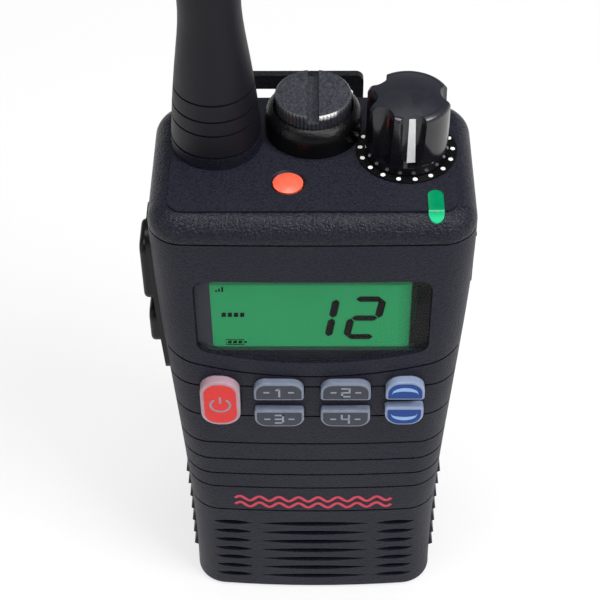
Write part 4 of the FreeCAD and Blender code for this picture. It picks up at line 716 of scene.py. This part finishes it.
# a wave texture turns through twenty radians in a unit, so the colour and the bump vary in bands
# that are 2 pi threads wide
wave_radians = 20
turned_place = add(tree, "ShaderNodeMapping", {"Vector": place, "Scale": (1, 0, 1)})
threads = []
for direction in ("X", "Z"):
    threads.append(add(tree, "ShaderNodeTexWave",
                       {"Vector": turned_place.outputs[0], "Scale": per_mm(thread) / wave_radians,
                        "Distortion": 0.4}, bands_direction=direction))
woven = add(tree, "ShaderNodeMixRGB", {"Fac": 0.5, "Color1": threads[0].outputs["Fac"],
                                       "Color2": threads[1].outputs["Fac"]})
fuzz = add(tree, "ShaderNodeMixRGB", {"Fac": woven.outputs["Color"], "Color1": linear("#060607"),
                                      "Color2": linear("#34343a")})
thread_relief = 0.1
relief = add(tree, "ShaderNodeBump", {"Height": woven.outputs["Color"], "Distance": thread_relief / 1000})
feed(tree, shader, {"Base Color": fuzz.outputs["Color"], "Normal": relief.outputs["Normal"],
                    "Roughness": 0.75, "Sheen Weight": 0.3})

low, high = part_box("speaker_cloth")
cloth_width = high.x - low.x
cloth_height = high.z - low.z
points_per_thread = 4
across = round(cloth_width * 1000 / thread) * points_per_thread
up = round(cloth_height * 1000 / thread) * points_per_thread
weave_rise = 0.04 / 1000
cloth_y = (low.y + high.y) / 2
half_turn = math.pi / points_per_thread
points = []
for j in range(up + 1):
    for i in range(across + 1):
        over = math.cos(half_turn * i) * math.cos(half_turn * j)
        points.append((low.x + cloth_width * i / across, cloth_y + weave_rise * over,
                       low.z + cloth_height * j / up))
faces = []
for j in range(up):
    for i in range(across):
        corner = j * (across + 1) + i
        faces.append((corner, corner + 1, corner + across + 2, corner + across + 1))
cloth_mesh = bpy.data.meshes.new("speaker_cloth_woven")
cloth_mesh.from_pydata(points, [], faces)
cloth_mesh.materials.append(cloth_weave)
cloth = bpy.data.objects.new("speaker_cloth_woven", cloth_mesh)
bpy.context.collection.objects.link(cloth)
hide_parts("speaker_cloth")
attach(cloth, "radio")

# The speaker and the microphone are stamped steel cans with rolled edges, bonded behind the grille.
# Stamping leaves a faint drawn sheen.
stamped_finish, tree, shader, drawn = worked_metal("steel_stamped_plated", "#b3b4b5", mark=0.8,
                                                   detail=4.0, smooth=0.25, rough=0.45)
tone = add(tree, "ShaderNodeMixRGB", {"Fac": drawn.outputs["Fac"], "Color1": linear("#8d8e90"),
                                      "Color2": linear("#b3b4b5")})
feed(tree, shader, {"Base Color": tone.outputs["Color"]})
dress(stamped_finish, "speaker", "microphone", "volume_potentiometer", "shield_can", "clip_pin")

# The side keys, their frame and the socket cover are moulded in black rubber over stiff cores and
# clip into the flanks. Thumbs polish them, so they shine a little more than the case.
side_finish = moulded_rubber("rubber_moulded_side_keys", "#0f0f12", grain=0.35, roughness=0.42)[0]
dress(side_finish, "side_key_frame", "ptt_button", "side_button", "side_port_cover")

# The volume knob is moulded in ABS and polished, and pushes onto a flatted metal shaft. Its flutes
# throw sharp reflections, dulled here and there by fingers.
knob_finish, tree, shader, place = new_finish("abs_moulded_polished")
fingers = add(tree, "ShaderNodeTexNoise", {"Vector": place, "Scale": per_mm(3.5), "Detail": 5.0,
                                           "Distortion": 0.6})
smear = add(tree, "ShaderNodeMapRange", {"Value": fingers.outputs["Fac"], "From Min": 0.35, "From Max": 0.7,
                                         "To Min": 0.09, "To Max": 0.2})
tone = add(tree, "ShaderNodeMixRGB", {"Fac": fingers.outputs["Fac"], "Color1": linear("#0b0b0e"),
                                      "Color2": linear("#15151a")})
# the dome above the flutes is satin, since thumbs rub its polish away, and its paler colour is a painted
# highlight
axes = add(tree, "ShaderNodeSeparateXYZ", {"Vector": place})
dome_starts_z = 0.1291
dome_full_z = 0.1299
rubbed_off = 0.17
dome = add(tree, "ShaderNodeMapRange", {"Value": axes.outputs["Z"], "From Min": dome_starts_z,
                                        "From Max": dome_full_z})
dome_dull = add(tree, "ShaderNodeMath", {0: dome.outputs[0], 1: rubbed_off}, operation="MULTIPLY")
dull = add(tree, "ShaderNodeMath", {0: smear.outputs[0], 1: dome_dull.outputs[0]}, operation="ADD")
# the dome's paler grey is a painted highlight
dome_tone_painted_highlight = add(tree, "ShaderNodeMixRGB", {"Fac": dome.outputs[0], "Color1": tone.outputs["Color"],
                                           "Color2": linear("#202128")})
feed(tree, shader, {"Roughness": dull.outputs[0], "Base Color": dome_tone_painted_highlight.outputs["Color"], "IOR": 1.54})
dress(knob_finish, "volume_knob")

# The pointer is a white strip, moulded on its own in ABS and pressed into the knob's front flute.
# Its white is a little uneven, greyer where dirt has settled.
pointer_finish, tree, shader, place = new_finish("abs_moulded_white")
shade_field = add(tree, "ShaderNodeTexNoise", {"Vector": place, "Scale": per_mm(2.5), "Detail": 3.0})
chalk = add(tree, "ShaderNodeMixRGB", {"Fac": shade_field.outputs["Fac"], "Color1": linear("#c9c9cc"),
                                       "Color2": linear("#efeff0")})
feed(tree, shader, {"Base Color": chalk.outputs["Color"], "Roughness": 0.3})
dress(pointer_finish, "knob_pointer")

# Nickel-plated brass parts: the knob's shaft, the antenna's threaded foot and the socket it enters.
# Plating is bright, and its shine varies in soft bands about 3 mm wide where it was turned.
nickel_finish, tree, shader, place = new_finish("brass_turned_nickel_plated")
turning = add(tree, "ShaderNodeTexWave", {"Vector": place, "Scale": per_mm(0.5) / wave_radians,
                                          "Distortion": 0.3}, bands_direction="Z")
bright = add(tree, "ShaderNodeMapRange", {"Value": turning.outputs["Fac"], "To Min": 0.14, "To Max": 0.26})
feed(tree, shader, {"Roughness": bright.outputs[0], "Base Color": linear("#c6c3bc"), "Metallic": 1.0})
dress(nickel_finish, "antenna_foot", "antenna_socket", "knob_shaft")

# The emergency button is a domed cap moulded in orange ABS. It sits down in a well so that it isn't
# pressed by chance, and its satin face carries a soft highlight.
orange_finish, tree, shader, place = new_finish("abs_moulded_orange_satin")
rub = add(tree, "ShaderNodeTexNoise", {"Vector": place, "Scale": per_mm(1.1), "Detail": 4.0})
tone = add(tree, "ShaderNodeMixRGB", {"Fac": rub.outputs["Fac"], "Color1": linear("#e5563f"),
                                      "Color2": linear("#ef6a50")})
dull = add(tree, "ShaderNodeMapRange", {"Value": rub.outputs["Fac"], "To Min": 0.28, "To Max": 0.42})
rub_depth = 0.03
relief = add(tree, "ShaderNodeBump", {"Height": rub.outputs["Fac"], "Distance": rub_depth / 1000})
feed(tree, shader, {"Base Color": tone.outputs["Color"], "Roughness": dull.outputs[0],
                    "Normal": relief.outputs["Normal"]})
dress(orange_finish, "emergency_button")

# The antenna is a wound radiator inside a moulded rubber sheath, which tapers up from a stout foot
# with three finger grooves. The rubber is matt charcoal with a faint vertical flow.
sheath_finish, tree, shader, place = moulded_rubber("rubber_moulded_antenna", "#121118", grain=0.5,
                                                    roughness=0.5)
flow_depth = 0.06
flow_place = add(tree, "ShaderNodeMapping", {"Vector": place, "Scale": (1, 1, 0.12)})
flow = add(tree, "ShaderNodeTexNoise", {"Vector": flow_place.outputs[0], "Scale": per_mm(2), "Detail": 3.0})
flow_relief = add(tree, "ShaderNodeBump", {"Height": flow.outputs["Fac"], "Distance": flow_depth / 1000,
                                           "Normal": shader.inputs["Normal"].links[0].from_socket})
feed(tree, shader, {"Normal": flow_relief.outputs["Normal"]})
dress(sheath_finish, "antenna_sheath")
# Drawn brass: warm yellow, with the die's marks breaking its shine
radiator_finish = worked_metal("brass_drawn_wire", "#b89152", mark=0.6, detail=2.0, smooth=0.22,
                               rough=0.38)[0]
dress(radiator_finish, "antenna_radiator")

# The accessory cap is a turned-looking nylon moulding with a coin slot and a knurled rim. Coins and fingers
# scratch its face and wear its knurls a little pale, and a painted highlight whitens the knurls at the
# front.
cap_finish, tree, shader, place = moulded_plastic("nylon_moulded_cap", "#303138", grain=0.4, depth=0.02,
                                                  roughness=0.38, gloss=0.4)
scratch_place = add(tree, "ShaderNodeMapping", {"Vector": place, "Rotation": (0, 0, 0.3),
                                                "Scale": (1, 0.25, 1)})
scratches = add(tree, "ShaderNodeTexNoise", {"Vector": scratch_place.outputs[0], "Scale": per_mm(0.4),
                                             "Detail": 3.0})
hairline = add(tree, "ShaderNodeMapRange", {"Value": scratches.outputs["Fac"], "From Min": 0.55,
                                            "From Max": 0.68, "To Min": 0.0, "To Max": 0.45})
# the knurls' tips are paled at their top edge: a little all round as wear, and fully round one place at the
# front as a painted highlight
tip_starts = 0.00695
tip_full = 0.0072
edge_starts_z = 0.1251
edge_full_z = 0.1256
highlight_place = (0.0028, 0.0017, 0)
highlight_reach = 0.0026
highlight_core = 0.0016
axes = add(tree, "ShaderNodeSeparateXYZ", {"Vector": place})
flat_place = add(tree, "ShaderNodeCombineXYZ", {"X": axes.outputs["X"], "Y": axes.outputs["Y"], "Z": 0.0})
out_from_axis = add(tree, "ShaderNodeVectorMath", {0: flat_place.outputs[0], 1: cap_axis},
                    operation="DISTANCE")
tips = add(tree, "ShaderNodeMapRange", {"Value": out_from_axis.outputs["Value"], "From Min": tip_starts,
                                        "From Max": tip_full})
top_edge = add(tree, "ShaderNodeMapRange", {"Value": axes.outputs["Z"], "From Min": edge_starts_z,
                                            "From Max": edge_full_z})
# round this place at the front the knurl tips are painted near white as a highlight
distance_from_highlight = add(tree, "ShaderNodeVectorMath", {0: flat_place.outputs[0], 1: highlight_place},
                  operation="DISTANCE")
painted_highlight_patch = add(tree, "ShaderNodeMapRange", {"Value": distance_from_highlight.outputs["Value"], "From Min": highlight_reach,
                                              "From Max": highlight_core, "To Min": 0.06, "To Max": 1.0})
edge_wear = add(tree, "ShaderNodeMath", {0: tips.outputs[0], 1: top_edge.outputs[0]}, operation="MULTIPLY")
wear_and_highlight = add(tree, "ShaderNodeMath", {0: edge_wear.outputs[0], 1: painted_highlight_patch.outputs[0]},
           operation="MULTIPLY")
moulded_tone = shader.inputs["Base Color"].links[0].from_socket
scratched = add(tree, "ShaderNodeMixRGB", {"Fac": hairline.outputs[0], "Color1": moulded_tone,
                                           "Color2": linear("#4a4c54")})
worn_and_highlit = add(tree, "ShaderNodeMixRGB", {"Fac": wear_and_highlight.outputs[0], "Color1": scratched.outputs["Color"],
                                      "Color2": linear("#d8d8d6")})
feed(tree, shader, {"Base Color": worn_and_highlit.outputs["Color"]})
dress(cap_finish, "accessory_cap")

# The socket under the cap and the emergency switch are small black nylon mouldings; the pins and the
# battery contacts are gold flashed over nickel.
socket_finish = moulded_plastic("nylon_moulded_socket", "#101013", grain=0.4, depth=0.02, roughness=0.45)[0]
dress(socket_finish, "accessory_socket", "emergency_switch")
# Gold flash: a clean warm shine, scuffed where contacts have met
gold_finish = worked_metal("brass_gold_flashed", "#dcb263", mark=0.7, detail=3.0, smooth=0.15,
                           rough=0.32)[0]
dress(gold_finish, "accessory_pins", "bay_contacts", "battery_contacts")

# The battery is a moulded shell and lid welded round its cells. It hooks into the bay's foot and is
# held by the acetal latch. Its plastic is the case's, a shade blacker and more matt.
battery_finish = moulded_plastic("polycarbonate_moulded_battery", "#15161f", grain=0.45, depth=0.04,
                                 roughness=0.52)[0]
dress(battery_finish, "battery_shell", "battery_lid")
# The cells inside are shrink wrapped in blue film, which is smooth and slightly shiny
wrap_finish = sprayed_face("pvc_shrink_wrapped", "#24508c", roughness=0.3)
dress(wrap_finish, "battery_cells")
latch_finish = moulded_plastic("acetal_moulded_latch", "#131417", grain=0.3, depth=0.02, roughness=0.36)[0]
dress(latch_finish, "battery_latch")

# The belt clip and its bracket are moulded in glass-filled nylon. The glass leaves a dry, slightly
# mottled face that goes grey where it rubs on a belt.
clip_finish, tree, shader, place = moulded_plastic("nylon_glass_filled_moulded", "#17181b", grain=0.5,
                                                   depth=0.04, roughness=0.48)
rub_starts_z = 0.036
rub_full_z = 0.031
axes = add(tree, "ShaderNodeSeparateXYZ", {"Vector": place})
rubbed = add(tree, "ShaderNodeMapRange", {"Value": axes.outputs["Z"], "From Min": rub_starts_z,
                                          "From Max": rub_full_z, "To Min": 0.0, "To Max": 0.35})
moulded_tone = shader.inputs["Base Color"].links[0].from_socket
greyed = add(tree, "ShaderNodeMixRGB", {"Fac": rubbed.outputs[0], "Color1": moulded_tone,
                                        "Color2": linear("#4c4e55")})
feed(tree, shader, {"Base Color": greyed.outputs["Color"]})
dress(clip_finish, "belt_clip", "clip_bracket")

# The clip's spring is wound from music wire round the pin. One leg bears on the bracket and the other
# on the clip.
spring_finish = worked_metal("music_wire_drawn", "#9fa0a3", mark=0.5, detail=3.0, smooth=0.22,
                             rough=0.4)[0]
spring_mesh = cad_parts["clip_spring"].data.copy()
spring_mesh.name = "clip_spring_wire"
spring = bpy.data.objects.new("clip_spring_wire", spring_mesh)
bpy.context.collection.objects.link(spring)
for slot in range(len(spring_mesh.materials)):
    spring_mesh.materials[slot] = spring_finish
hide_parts("clip_spring")
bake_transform(spring)

# Inside are glass-epoxy boards under green solder mask, and a die-cast aluminium chassis that
# carries them and takes the heat. The mask is glossy over the weave of the laminate.
board_finish, tree, shader, place = new_finish("glass_epoxy_solder_mask")
weave = add(tree, "ShaderNodeTexNoise", {"Vector": place, "Scale": per_mm(0.6), "Detail": 2.0})
tone = add(tree, "ShaderNodeMixRGB", {"Fac": weave.outputs["Fac"], "Color1": linear("#0b4423"),
                                      "Color2": linear("#125c31")})
feed(tree, shader, {"Base Color": tone.outputs["Color"], "Roughness": 0.28})
dress(board_finish, "keypad_board", "main_board", "top_board", "side_switch_board")
# Die-cast aluminium: pale grey and dull, with the flow marks of its skin about 0.9 mm across
cast_finish, tree, shader, skin = worked_metal("aluminium_die_cast", "#c9cacc", mark=0.9, detail=4.0,
                                               smooth=0.38, rough=0.58)
skin_depth = 0.04
relief = add(tree, "ShaderNodeBump", {"Height": skin.outputs["Fac"], "Distance": skin_depth / 1000})
feed(tree, shader, {"Normal": relief.outputs["Normal"]})
dress(cast_finish, "chassis_frame")
